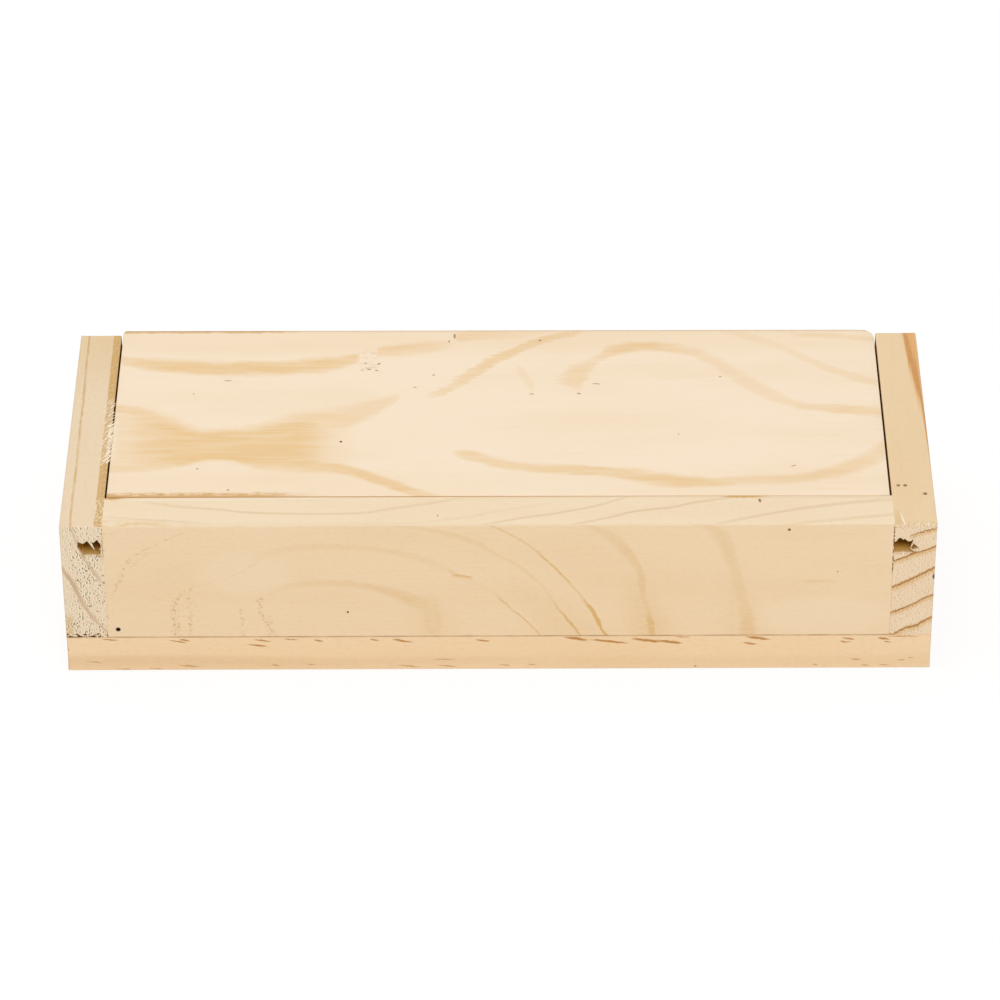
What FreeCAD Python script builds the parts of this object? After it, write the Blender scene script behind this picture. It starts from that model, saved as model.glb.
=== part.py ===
"""A small pine box whose lid slides out of the back in two grooves.

Five boards are butted, glued and pinned with brads: a base, two grooved end walls that
stand on it, and a front and a back wall between them. The lid is a rabbeted board whose
tongues run in the grooves of the end walls. It meets the front wall when it is shut and
passes over the back wall, which is lower by the lid's thickness.

Millimetres, +Z up, +X to the right, +Y to the back. The origin is the middle of the
whole object, at the surface that it stands on.
"""
import math
import os

import FreeCAD
import Part

from FreeCAD import Vector

# Outside of the box, without the lid's overhang
box_length = 216.0
box_depth = 83.0
box_height = 45.0

# Thickness of each board
base_thickness = 10.5
side_thickness = 10.5
front_thickness = 12.0
back_thickness = 12.0

# Groove in the inner face of each end wall
groove_lip = 4.7
groove_height = 4.2
groove_depth = 5.2

# Lid and its running gaps
tongue_play = 0.4
tongue_end_play = 0.6
lid_side_gap = 0.4
lid_back_gap = 0.3
lid_proud = 0.5
lid_overhang = 1.2

# Sanded edges and corners
base_ease = 0.5
wall_ease = 0.6
lid_ease = 0.5
tongue_ease = 0.4
lid_corner_left = 1.0
lid_corner_right = 3.0

# Brads, which are 18 gauge
brad_length = 25.0
brad_diameter = 1.2
brad_head_diameter = 2.0
brad_head_height = 0.6
brad_point = 1.8
brad_set = 0.3
side_brad_spacing = 12.5
base_brad_inset = 22.0
base_side_brad_spacing = 34.0

# Places that follow from the sizes
half_length = box_length / 2
inner_half = half_length - side_thickness
front_y = -(box_depth + lid_overhang) / 2
back_y = front_y + box_depth
front_inner_y = front_y + front_thickness
back_inner_y = back_y - back_thickness
middle_y = (front_y + back_y) / 2
groove_top_z = box_height - groove_lip
groove_floor_z = groove_top_z - groove_height
back_wall_top_z = groove_floor_z - lid_back_gap
lid_top_z = box_height + lid_proud
lid_back_y = back_y + lid_overhang


def block(x_low, x_high, y_low, y_high, z_low, z_high):
    """A plain board between two corners."""
    size = (x_high - x_low, y_high - y_low, z_high - z_low)
    return Part.makeBox(*size, Vector(x_low, y_low, z_low))


def prism(section, y_low, y_high):
    """Extrude a section, given as (x, z) corners, from y_low to y_high."""
    corners = [Vector(x, y_low, z) for x, z in section]
    face = Part.Face(Part.makePolygon(corners + corners[:1]))
    return face.extrude(Vector(0, y_high - y_low, 0))


def at(value, target):
    """True where two lengths are the same to a thousandth."""
    return abs(value - target) < 1e-3


def ease(solid, radius, wanted):
    """Round the edges of a solid that the test picks by their two end points."""
    chosen = []
    for edge in solid.Edges:
        first, last = edge.Vertexes[0].Point, edge.Vertexes[-1].Point
        if wanted(first, last):
            chosen.append(edge)
    return solid.makeFillet(radius, chosen)


def both(axis, target):
    """An edge test: both ends lie at one x, y or z."""
    return lambda a, b: at(getattr(a, axis), target) and at(getattr(b, axis), target)


def brad(head_point, direction):
    """One brad, turned about its axis: a flat head, a shank and a tapered point."""
    shank = brad_diameter / 2
    head = brad_head_diameter / 2
    outline = [
        Vector(0, 0, 0),
        Vector(head, 0, 0),
        Vector(head, 0, brad_head_height),
        Vector(shank, 0, brad_head_height),
        Vector(shank, 0, brad_length - brad_point),
        Vector(0, 0, brad_length),
        Vector(0, 0, 0),
    ]
    solid = Part.Face(Part.makePolygon(outline)).revolve(
        Vector(0, 0, 0), Vector(0, 0, 1), 360
    )
    solid.rotate(Vector(0, 0, 0), *turn_to(direction))
    solid.translate(head_point + direction * brad_set)
    return solid


def turn_to(direction):
    """Axis and angle that turn +Z to a direction."""
    rotation = FreeCAD.Rotation(Vector(0, 0, 1), direction)
    return rotation.Axis, math.degrees(rotation.Angle)


def countersink(head_point, direction):
    """The short hole that the punch leaves above a brad's head."""
    return Part.makeCylinder(brad_head_diameter / 2, brad_set, head_point, direction)


def side_brads(side, wall_middle_y):
    """Two brads through an end wall, side -1 or 1, into the end of a wall."""
    middle_z = (base_thickness + groove_floor_z) / 2
    heads = []
    for step in (-0.5, 0.5):
        height = middle_z + step * side_brad_spacing
        heads.append(Vector(side * half_length, wall_middle_y, height))
    return [(head, Vector(-side, 0, 0)) for head in heads]


def base_brads_along(wall_middle_y):
    """Three brads up through the base into the front or back wall."""
    reach = inner_half - base_brad_inset
    return [(Vector(x, wall_middle_y, 0), Vector(0, 0, 1)) for x in (-reach, 0, reach)]


def base_brads_across(side):
    """Two brads up through the base into an end wall."""
    x = side * (half_length - side_thickness / 2)
    heads = []
    for step in (-0.5, 0.5):
        heads.append(Vector(x, middle_y + step * base_side_brad_spacing, 0))
    return [(head, Vector(0, 0, 1)) for head in heads]


def base_board():
    """The base, as long and as deep as the box, with its outer edges sanded."""
    board = block(-half_length, half_length, front_y, back_y, 0, base_thickness)

    def outer(a, b):
        upright = at(a.x, b.x) and at(a.y, b.y)
        return upright or both("z", 0)(a, b)

    return ease(board, base_ease, outer)


def end_wall(side):
    """An end wall, side -1 or 1, with the lid's groove cut through its whole depth."""
    outer_x = side * half_length
    inner_x = side * inner_half
    groove_x = side * (inner_half + groove_depth)
    section = [
        (outer_x, base_thickness),
        (outer_x, box_height),
        (inner_x, box_height),
        (inner_x, groove_top_z),
        (groove_x, groove_top_z),
        (groove_x, groove_floor_z),
        (inner_x, groove_floor_z),
        (inner_x, base_thickness),
    ]
    wall = prism(section, front_y, back_y)

    def outer(a, b):
        on_outside = both("x", outer_x)(a, b) and not both("z", base_thickness)(a, b)
        return on_outside or both("z", box_height)(a, b)

    return ease(wall, wall_ease, outer)


def front_wall():
    """The front wall, flush with the tops and the fronts of the end walls."""
    board = block(
        -inner_half, inner_half, front_y, front_inner_y, base_thickness, box_height
    )

    def top_front(a, b):
        return both("z", box_height)(a, b) and both("y", front_y)(a, b)

    return ease(board, wall_ease, top_front)


def back_wall():
    """The back wall, which stops just under the lid."""
    board = block(
        -inner_half, inner_half, back_inner_y, back_y, base_thickness, back_wall_top_z
    )

    def top_back(a, b):
        return both("z", back_wall_top_z)(a, b) and both("y", back_y)(a, b)

    return ease(board, wall_ease, top_back)


def lid():
    """The lid: a board rabbeted along both ends, with rounded corners at the back."""
    shoulder_x = inner_half - lid_side_gap
    tip_x = inner_half + groove_depth - tongue_end_play
    tongue_top_z = groove_top_z - tongue_play
    section = [
        (-tip_x, groove_floor_z),
        (tip_x, groove_floor_z),
        (tip_x, tongue_top_z),
        (shoulder_x, tongue_top_z),
        (shoulder_x, lid_top_z),
        (-shoulder_x, lid_top_z),
        (-shoulder_x, tongue_top_z),
        (-tip_x, tongue_top_z),
    ]
    board = prism(section, front_inner_y, lid_back_y)

    def corner(x, radius, solid):
        def upright(a, b):
            return both("y", lid_back_y)(a, b) and both("x", x)(a, b)

        return ease(solid, radius, upright)

    board = corner(-shoulder_x, lid_corner_left, board)
    board = corner(shoulder_x, lid_corner_right, board)
    board = corner(-tip_x, tongue_ease, board)
    board = corner(tip_x, tongue_ease, board)
    return ease(board, lid_ease, both("z", lid_top_z))


def pinned(board, brads):
    """Cut the brads and the marks of the punch out of a board."""
    for head_point, direction in brads:
        hole = brad(head_point, direction).fuse(countersink(head_point, direction))
        board = board.cut(hole)
    return board


def main():
    front_middle_y = (front_y + front_inner_y) / 2
    back_middle_y = (back_y + back_inner_y) / 2
    brads = {
        "left_front_brads": side_brads(-1, front_middle_y),
        "right_front_brads": side_brads(1, front_middle_y),
        "left_back_brads": side_brads(-1, back_middle_y),
        "right_back_brads": side_brads(1, back_middle_y),
        "base_front_brads": base_brads_along(front_middle_y),
        "base_back_brads": base_brads_along(back_middle_y),
        "base_left_brads": base_brads_across(-1),
        "base_right_brads": base_brads_across(1),
    }
    boards = {
        "base_board": (base_board(), "base"),
        "left_wall": (end_wall(-1), "left"),
        "right_wall": (end_wall(1), "right"),
        "front_wall": (front_wall(), "front"),
        "back_wall": (back_wall(), "back"),
    }
    parts = {"lid": lid()}
    for name, (board, word) in boards.items():
        own = [b for group, heads in brads.items() if word in group for b in heads]
        parts[name] = pinned(board, own)
    for name, heads in brads.items():
        parts[name] = Part.makeCompound([brad(*head) for head in heads])

    os.makedirs("parts", exist_ok=True)
    for name, shape in parts.items():
        shape.exportStep("parts/" + name + ".step")
        box = shape.BoundBox
        size = [round(v, 2) for v in (box.XLength, box.YLength, box.ZLength)]
        print(name, len(shape.Solids), shape.isValid(), round(shape.Volume, 1), size)


main()
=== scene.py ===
# %% [markdown]
# # A small pine box with a sliding lid
#
# This lesson dresses a finished construction model in bare pine. The construction gives
# the size and the place of every board, so nothing here is measured again: each board is
# modelled once more with worn edges, ragged grooves and splinters, and gets the grain that
# its own faces show. Lengths are written in millimetres, and `MM` turns them into metres.

import math
import random

import bmesh
import bpy
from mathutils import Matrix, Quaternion, Vector


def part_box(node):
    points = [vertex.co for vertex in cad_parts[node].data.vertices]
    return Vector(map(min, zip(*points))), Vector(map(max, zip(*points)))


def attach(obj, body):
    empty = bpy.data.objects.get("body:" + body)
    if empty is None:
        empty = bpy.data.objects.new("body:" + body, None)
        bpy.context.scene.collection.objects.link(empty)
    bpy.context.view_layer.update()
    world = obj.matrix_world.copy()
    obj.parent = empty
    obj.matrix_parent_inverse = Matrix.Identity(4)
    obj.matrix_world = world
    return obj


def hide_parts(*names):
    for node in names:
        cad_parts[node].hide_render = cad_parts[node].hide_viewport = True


MM = 0.001
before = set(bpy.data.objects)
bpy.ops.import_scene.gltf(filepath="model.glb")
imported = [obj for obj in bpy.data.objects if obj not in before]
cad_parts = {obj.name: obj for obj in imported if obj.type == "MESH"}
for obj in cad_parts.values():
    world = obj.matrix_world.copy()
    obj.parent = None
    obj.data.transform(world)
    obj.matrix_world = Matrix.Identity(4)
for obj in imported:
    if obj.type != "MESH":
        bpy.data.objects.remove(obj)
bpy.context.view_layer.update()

# %% [markdown]
# ## Looking at the box
#
# The box is seen from the front and from above, with a long lens, so its upright lines stay
# nearly parallel. A camera could be aimed with a constraint, but a few angles written down
# say more: how high it stands, how far it is turned and how much it leans. Its turn is built
# from the line of sight, and the lean is a last small turn about that line.

# %% Camera
camera_rise = math.radians(36.36)
camera_turn = math.radians(0.22)
camera_lean = math.radians(-0.33)
camera_distance = 1299.5 * MM
looked_at = Vector((0.35, -0.85, 22.4)) * MM

toward_camera = Vector(
    (
        math.sin(camera_turn) * math.cos(camera_rise),
        -math.cos(camera_turn) * math.cos(camera_rise),
        math.sin(camera_rise),
    )
)
camera_data = bpy.data.cameras.new("camera")
camera_data.lens = 183.6
camera_data.sensor_width = 36.0
camera_data.clip_end = 10.0
camera = bpy.data.objects.new("camera", camera_data)
camera.location = looked_at + toward_camera * camera_distance
camera.rotation_mode = "QUATERNION"
camera.rotation_quaternion = toward_camera.to_track_quat("Z", "Y") @ Quaternion(
    (0, 0, 1), camera_lean
)
bpy.context.scene.collection.objects.link(camera)
bpy.context.scene.camera = camera
bpy.context.scene.view_settings.view_transform = "Standard"
print("camera stands", round(camera.location.z / MM), "mm high")

# %% [markdown]
# ## Soft light on a white ground
#
# The box was lit evenly, from above and a little from the front, so pale wood keeps its
# colour and only the gaps are dark. An even white world gives most of that light, and two
# broad lamps give the rest. The floor could be a plain white surface, but it would never be
# quite as white as paper. So the camera sees the floor half as lit paint and half as plain
# white, and the soft shadow under the box stays.


# %% Light
def soft_lamp(name, place, size, power):
    """A square lamp, in metres and watts, that faces the middle of the box."""
    lamp_data = bpy.data.lights.new(name, "AREA")
    lamp_data.size = size
    lamp_data.energy = power
    lamp = bpy.data.objects.new(name, lamp_data)
    lamp.location = place
    aim = Vector(place) - Vector((0, 0, 0.02))
    lamp.rotation_mode = "QUATERNION"
    lamp.rotation_quaternion = aim.to_track_quat("Z", "Y")
    bpy.context.scene.collection.objects.link(lamp)
    return lamp


soft_lamp("lamp_above", (-0.25, 0.10, 1.3), 1.2, 5.4)
soft_lamp("lamp_front", (0.35, -1.2, 0.75), 1.0, 4.5)
print("lamps", len(bpy.data.lights))

world = bpy.data.worlds.new("even_white")
world.use_nodes = True
bpy.context.scene.world = world
sky = world.node_tree.nodes["Background"]
sky.inputs["Color"].default_value = (1, 1, 1, 1)
seen = world.node_tree.nodes.new("ShaderNodeLightPath")
strength = world.node_tree.nodes.new("ShaderNodeMix")
strength.inputs["A"].default_value = 0.62
strength.inputs["B"].default_value = 1.0
world.node_tree.links.new(seen.outputs["Is Camera Ray"], strength.inputs["Factor"])
world.node_tree.links.new(strength.outputs["Result"], sky.inputs["Strength"])

# %% Floor
bpy.ops.mesh.primitive_plane_add(size=8.0)
floor = bpy.context.object
floor.name = "floor"
floor_paint = bpy.data.materials.new("white_paper")
floor_paint.use_nodes = True
paint_nodes = floor_paint.node_tree.nodes
paint_links = floor_paint.node_tree.links
lit = paint_nodes["Principled BSDF"]
lit.inputs["Base Color"].default_value = (0.93, 0.93, 0.93, 1)
lit.inputs["Roughness"].default_value = 0.9
plain = paint_nodes.new("ShaderNodeEmission")
plain.inputs["Color"].default_value = (1, 1, 1, 1)
plain.inputs["Strength"].default_value = 1.05
camera_ray = paint_nodes.new("ShaderNodeLightPath")
share = paint_nodes.new("ShaderNodeMath")
share.operation = "MULTIPLY"
share.inputs[1].default_value = 0.8
both_looks = paint_nodes.new("ShaderNodeMixShader")
paint_links.new(camera_ray.outputs["Is Camera Ray"], share.inputs[0])
paint_links.new(share.outputs["Value"], both_looks.inputs["Fac"])
paint_links.new(lit.outputs["BSDF"], both_looks.inputs[1])
paint_links.new(plain.outputs["Emission"], both_looks.inputs[2])
paint_links.new(both_looks.outputs["Shader"], paint_nodes["Material Output"].inputs["Surface"])
floor.data.materials.append(floor_paint)
print("floor", floor.dimensions.x, "m wide")


# %% [markdown]
# ## A workbench for finishes
#
# A wood finish is mostly sums on the place of a point: how far along the board, how far
# across it, how near to a ring. A shader graph could be joined up node by node, but the
# sums would be lost in the wiring. So a `Field` stands for a number that changes from point
# to point, and adding or multiplying two of them adds the node that does it. A `Finish` is
# one material, and wood is built up in it as a painter would: a ground, then thin covers
# and stains. Every place is in millimetres of the board's own object, so the grain is cut
# through the board as it is in a real one.


# %% Colours and fields
def paint(red, green, blue):
    """A colour written as 0 to 255 in a picture, as the linear colour that a shader uses."""
    linear = []
    for value in (red, green, blue):
        part = value / 255
        linear.append(part / 12.92 if part <= 0.04045 else ((part + 0.055) / 1.055) ** 2.4)
    return (*linear, 1.0)


def operator(operation, turned=False):
    """A Python operator that adds the node for one sum."""

    def result(self, other=0.0):
        values = (other, self) if turned else (self, other)
        return self.finish.maths(operation, *values)

    return result


class Field:
    """A number that changes from point to point. Of two masks, | keeps the stronger."""

    def __init__(self, finish, socket):
        self.finish = finish
        self.socket = socket

    __add__ = operator("ADD")
    __sub__ = operator("SUBTRACT")
    __rsub__ = operator("SUBTRACT", turned=True)
    __mul__ = operator("MULTIPLY")
    __truediv__ = operator("DIVIDE")
    __or__ = operator("MAXIMUM")
    __abs__ = operator("ABSOLUTE")

    def fade(self, low, high, start=0.0, end=1.0, smooth=True):
        """Start below low, end above high, and an even change between them."""
        node = self.finish.nodes.new("ShaderNodeMapRange")
        node.interpolation_type = "SMOOTHSTEP" if smooth else "LINEAR"
        for socket, part in zip(node.inputs, (self, low, high, start, end)):
            self.finish.feed(socket, part)
        return Field(self.finish, node.outputs[0])

    def rise(self, low, high):
        return self.fade(low, high)

    def fall(self, low, high):
        return self.fade(low, high, 1.0, 0.0)

    def window(self, opens, open_from, open_to, closes):
        return self.rise(opens, open_from) * self.fall(open_to, closes)

    def curve(self, points, kind):
        """A smooth curve through given points, both ways from 0 to 1."""
        node = self.finish.nodes.new("ShaderNodeFloatCurve")
        line = node.mapping.curves[0]
        for place in points[1:-1]:
            line.points.new(*place)
        for point, place in zip(line.points, points):
            point.location = place
            point.handle_type = kind
        node.mapping.extend = "HORIZONTAL"
        node.mapping.update()
        self.finish.feed(node.inputs["Value"], self)
        return Field(self.finish, node.outputs["Value"])


# %% The finish itself
class Finish:
    """A material under construction, with the place of each point in millimetres."""

    def __init__(self, name):
        self.material = bpy.data.materials.new(name)
        self.material.use_nodes = True
        self.nodes = self.material.node_tree.nodes
        self.links = self.material.node_tree.links
        self.shader = self.nodes["Principled BSDF"]
        self.colour = None
        where = self.nodes.new("ShaderNodeTexCoord")
        scaled = self.nodes.new("ShaderNodeVectorMath")
        scaled.operation = "SCALE"
        scaled.inputs["Scale"].default_value = 1 / MM
        self.links.new(where.outputs["Object"], scaled.inputs[0])
        self.x, self.y, self.z = self.split(scaled.outputs["Vector"])
        self.facing = self.split(where.outputs["Normal"])

    def feed(self, socket, value):
        if isinstance(value, Field):
            self.links.new(value.socket, socket)
        else:
            socket.default_value = value

    def split(self, vector):
        node = self.nodes.new("ShaderNodeSeparateXYZ")
        self.links.new(vector, node.inputs[0])
        return [Field(self, socket) for socket in node.outputs]

    def maths(self, operation, *values):
        node = self.nodes.new("ShaderNodeMath")
        node.operation = operation
        for socket, value in zip(node.inputs, values):
            self.feed(socket, value)
        return Field(self, node.outputs[0])

    def cloud(self, x, y, z, detail=2.0, roughness=0.5):
        """Smooth noise about 0.5, with a patch for each unit of x, y and z."""
        place = self.nodes.new("ShaderNodeCombineXYZ")
        for socket, part in zip(place.inputs, (x, y, z)):
            self.feed(socket, part)
        node = self.nodes.new("ShaderNodeTexNoise")
        node.inputs["Scale"].default_value = 1.0
        node.inputs["Detail"].default_value = detail
        node.inputs["Roughness"].default_value = roughness
        self.links.new(place.outputs[0], node.inputs["Vector"])
        return Field(self, node.outputs["Fac"])

    def mix(self, share, first, second, blend="MIX"):
        node = self.nodes.new("ShaderNodeMix")
        node.data_type = "RGBA"
        node.blend_type = blend
        for place, value in ((0, share), (6, first), (7, second)):
            self.feed(node.inputs[place], value)
        return Field(self, node.outputs[2])

    def cover(self, share, colour):
        """Lay a share of a colour over what is there."""
        self.colour = self.mix(share, self.colour, colour)

    def stain(self, share, colour):
        """Darken what is there, so that the grain still shows."""
        self.colour = self.mix(share, self.colour, colour, "MULTIPLY")

    def finish(self, height, depth, roughness, dull=None):
        """Give the shader its colour, its relief in millimetres and its roughness.

        The dull mask takes the shine off cracks and holes.
        """
        self.feed(self.shader.inputs["Base Color"], self.colour)
        self.feed(self.shader.inputs["Roughness"], roughness)
        shine = 0.25 if dull is None else 0.25 - dull * 0.25
        self.feed(self.shader.inputs["Specular IOR Level"], shine)
        bump = self.nodes.new("ShaderNodeBump")
        bump.inputs["Distance"].default_value = depth * MM
        self.feed(bump.inputs["Height"], height)
        self.links.new(bump.outputs["Normal"], self.shader.inputs["Normal"])
        return self.material


# %% [markdown]
# ## What bare pine looks like
#
# A pine board shows three things. Its rings cross the face as soft golden lines, with one
# crisp side where summer growth stops. Its fibres run along the board as faint streaks. And
# its cut ends are a field of tiny dark pores. Rings that matter are drawn as a draughtsman
# would: a line has a few points, each with its place along and across the face, its half
# width and its strength. Rings on faces that nobody has seen come from one tree trunk,
# worked out from the distance to its middle.


# %% Grain lines, trunk rings and dashes
def grain_line(along, across, points, low_edge=0.5, high_edge=0.5):
    """One drawn line of the grain, as a mask.

    Each point is (along, across, half width, strength). The line is half gone at its half
    width, and the edges say over what share of it the sides of lower and of higher across
    fade.
    """
    first, last = points[0][0], points[-1][0]
    share = along.fade(first, last, smooth=False)
    steps = [(point[0] - first) / (last - first) for point in points]
    drawn = []
    for column in (1, 2, 3):
        values = [point[column] for point in points]
        low = min(values)
        reach = max(max(values) - low, 1e-6)
        line = [(step, (value - low) / reach) for step, value in zip(steps, values)]
        kind = "AUTO" if column == 1 else "AUTO_CLAMPED"
        curve = share.curve(line, kind)
        drawn.append(along.finish.maths("MULTIPLY_ADD", curve, reach, low))
    middle, half_width, strength = drawn
    offset = (across - middle) / half_width
    low_side = offset.rise(-1.0 - low_edge, -1.0 + low_edge)
    return low_side * offset.fall(1.0 - high_edge, 1.0 + high_edge) * strength


def resized(points, wider):
    """The same line with its half widths multiplied."""
    return [(along, across, half * wider, strength) for along, across, half, strength in points]


def trunk_rings(along, across, depth, pith_across, pith_depth, spacing, seed):
    """Latewood lines of a whole trunk, whose pith runs along the board at that distance."""
    wood = along.finish
    sway = wood.cloud(along * 0.012, across * 0.03, seed)
    lean = wood.cloud(along * 0.02, depth * 0.04, seed + 7.3)
    side = across - pith_across + sway * 14.0
    below = depth - pith_depth + lean * 9.0
    radius = wood.maths("SQRT", side * side + below * below) + along * 0.02
    phase = wood.maths("FRACT", radius / spacing)
    return phase.rise(0.35, 0.93) * phase.fall(0.94, 1.0)


def dash(along, across, place, length, thick, slope=0.0):
    """A short stroke or a dot, such as a resin canal that is cut open along the grain."""
    run = along - place[0]
    drift = across - place[1] - run * slope
    long_way, short_way = run / (length / 2), drift / (thick / 2)
    return (long_way * long_way + short_way * short_way).fall(0.2, 1.0)


def most(masks):
    """The strongest of several masks."""
    first, *others = masks
    for other in others:
        first = first | other
    return first


# %% Colours of pine
LID_PALE = paint(252, 232, 205)
LID_GOLD = paint(240, 204, 150)
FRONT_PALE = paint(243, 216, 178)
FRONT_GOLD = paint(224, 180, 116)
STRIP_PALE = paint(246, 225, 193)
STRIP_GREY = paint(222, 192, 150)
LEFT_TOP_PALE = paint(239, 217, 184)
LEFT_TOP_GOLD = paint(212, 174, 118)
LEFT_END_PALE = paint(239, 216, 185)
LEFT_END_BROWN = paint(208, 177, 144)
RIGHT_TOP_PALE = paint(240, 212, 171)
RIGHT_TOP_GLOW = paint(232, 178, 118)
RIGHT_TOP_LINE = paint(206, 148, 88)
RIGHT_END_PALE = paint(240, 214, 180)
RIGHT_END_GLOW = paint(226, 182, 122)
RIGHT_END_LINE = paint(158, 108, 56)
BASE_PALE = paint(247, 216, 175)
BASE_GOLD = paint(232, 196, 150)
END_CREAM = paint(253, 240, 214)
OCHRE = paint(212, 170, 104)
# Tan along edges of the lid and the top strip, partly painted shade where the lid meets the front
# wall.
EDGE_TAN_AND_SHADE = paint(218, 174, 114)
# Painted shade on the lid's faces that stand in its gaps.
GAP_SHADE_TAN = paint(196, 150, 92)
# Painted shade: the dark brown of the slots beside the lid, the top of each groove mouth and the
# front wall's foot.
SLOT_SHADE_BROWN = paint(146, 98, 36)
JOINT_DARK = paint(66, 40, 8)
# Painted shade of small chips along the foot of the left wall's end.
CHIP_SHADE_BROWN = paint(104, 70, 22)
# Painted shade in holes, pits and a nick.
HOLE_SHADE = paint(38, 24, 8)
# Painted shade under the torn fibres on the left wall's top.
SHADE_UNDER_FIBRES = paint(214, 178, 130)
# Painted light and shade in the groove mouths: bright gold near the front, dark brown further in.
GROOVE_LIT_GOLD = paint(250, 208, 118)
GROOVE_SHADE_BROWN = paint(176, 124, 38)
# Stains are linear colours, which multiply the wood below them.
DASH_STAIN = (0.58, 0.37, 0.15, 1.0)
STAIN_GOLD = (0.90, 0.77, 0.56, 1.0)
STAIN_BROWN = (0.62, 0.42, 0.22, 1.0)
STAIN_PORE = (0.40, 0.26, 0.13, 1.0)
STAIN_END = (0.26, 0.19, 0.095, 1.0)


# %% Bare pine from its parts
def bare_pine(along, across, depth, seed, rings, pale, gold, mottle=0.12):
    """Give a finish the colour of plain wood whose rings are a mask, and return its streaks."""
    wood = along.finish
    streak = wood.cloud(along * 0.045 + seed, across * 1.5, depth * 1.5, 4.0, 0.6)
    patch = wood.cloud(along * 0.02 + (seed + 4.0), across * 0.08, depth * 0.08)
    spotty = wood.cloud(along * 0.55, across * 1.2, depth * 1.2, 3.0, 0.6)
    wood.colour = wood.mix(rings * streak.fade(0.3, 0.7, 1.12, 0.82), pale, gold)
    wood.stain(patch.fade(0.42, 0.72, 0.0, 0.14), STAIN_GOLD)
    wood.stain(streak.fade(0.54, 0.8, 0.0, 0.24), STAIN_GOLD)
    wood.stain(spotty.fade(0.45, 0.7, 0.0, mottle), STAIN_GOLD)
    return streak


print("finish bench ready")

# %% [markdown]
# ## Modelling a board by hand
#
# Every board starts as a primitive of its own size and is then cut and pulled in edit mode.
# An operator works on whatever is selected, so each helper first clears the selection and
# then picks faces, edges or points by where they are.


# %% Selection helpers
def clear_selection():
    """Leave edit mode and deselect every object."""
    if bpy.context.mode != "OBJECT":
        bpy.ops.object.mode_set(mode="OBJECT")
    bpy.ops.object.select_all(action="DESELECT")


def only(piece):
    """Select one object alone and make it the active one."""
    clear_selection()
    piece.select_set(True)
    bpy.context.view_layer.objects.active = piece


def edit(piece):
    """Open one piece in edit mode with nothing selected in it."""
    only(piece)
    bpy.ops.object.mode_set(mode="EDIT")
    bpy.ops.mesh.select_mode(type="VERT")
    bpy.ops.mesh.select_all(action="DESELECT")


def done(piece):
    bpy.ops.object.mode_set(mode="OBJECT")
    return piece


def pick(piece, kind, wanted):
    """Select the edges or the faces whose places, in millimetres, pass a test."""
    bpy.ops.mesh.select_mode(type=kind)
    bpy.ops.mesh.select_all(action="DESELECT")
    mesh = bmesh.from_edit_mesh(piece.data)
    for part in mesh.edges if kind == "EDGE" else mesh.faces:
        ends = [end.co / MM for end in part.verts]
        if wanted(*ends) if kind == "EDGE" else wanted(part.calc_center_median() / MM):
            part.select = True
    mesh.select_flush_mode()
    bmesh.update_edit_mesh(piece.data)


# %% Sizes and slices
def corners(node):
    """Lowest and highest corner of a construction node, in millimetres."""
    low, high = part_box(node)
    return low / MM, high / MM


def slice_at(axis, places):
    """Cut the whole piece that is open in edit mode by planes across one axis."""
    for place in places:
        point = [0.0, 0.0, 0.0]
        point[axis] = place * MM
        normal = [0.0, 0.0, 0.0]
        normal[axis] = 1.0
        bpy.ops.mesh.select_all(action="SELECT")
        bpy.ops.mesh.bisect(plane_co=point, plane_no=normal)


def even_steps(first, last, longest):
    """Places between two ends, at even steps no longer than asked."""
    count = math.ceil((last - first) / longest)
    return [first + (last - first) * step / count for step in range(1, count)]


# %% Boards and sections
def lay_down(piece):
    """Put the object's place and size into its mesh, so that the object sits at the origin."""
    only(piece)
    bpy.ops.object.transform_apply(location=True, rotation=True, scale=True)
    return piece


def block(name, low, high):
    """A box primitive between two corners in millimetres."""
    clear_selection()
    middle = [(a + b) / 2 * MM for a, b in zip(low, high)]
    size = [(b - a) * MM for a, b in zip(low, high)]
    bpy.ops.mesh.primitive_cube_add(size=1, location=middle)
    piece = bpy.context.object
    piece.name = name
    piece.scale = size
    return lay_down(piece)


def upright_section(name, x_low, x_high, z_low, z_high, y):
    """A flat section that faces the front, ready to be cut to shape and pulled back."""
    clear_selection()
    middle = ((x_low + x_high) / 2 * MM, y * MM, (z_low + z_high) / 2 * MM)
    bpy.ops.mesh.primitive_plane_add(size=1, location=middle, rotation=(math.pi / 2, 0, 0))
    piece = bpy.context.object
    piece.name = name
    piece.scale = ((x_high - x_low) * MM, (z_high - z_low) * MM, 1)
    return lay_down(piece)


def pull_through(stops):
    """Extrude the open section along +Y, from the first stop to each one after it."""
    bpy.ops.mesh.select_mode(type="FACE")
    bpy.ops.mesh.select_all(action="SELECT")
    for before, after in zip(stops, stops[1:]):
        step = (0, (after - before) * MM, 0)
        bpy.ops.mesh.extrude_region_move(TRANSFORM_OT_translate={"value": step})


# %% Worn edges
def mend_normals():
    bpy.ops.mesh.select_all(action="SELECT")
    bpy.ops.mesh.remove_doubles(threshold=0.001 * MM)
    bpy.ops.mesh.normals_make_consistent(inside=False)


def round_edges(piece, wanted, radius, segments=3):
    """Round the picked edges, as a few strokes of sandpaper do."""
    pick(piece, "EDGE", wanted)
    bpy.ops.mesh.bevel(offset=radius * MM, segments=segments, affect="EDGES")


def close(value, target):
    return abs(value - target) < 0.02


def along_line(axis_one, place_one, axis_two, place_two):
    """An edge test: the edge runs where two of its coordinates are fixed."""

    def wanted(a, b):
        fixed = ((axis_one, place_one), (axis_two, place_two))
        return all(close(end[axis], place) for end in (a, b) for axis, place in fixed)

    return wanted


def smooth(piece):
    """Shade a piece smooth, apart from its corners."""
    only(piece)
    bpy.ops.object.shade_smooth_by_angle(angle=math.radians(35))


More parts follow.
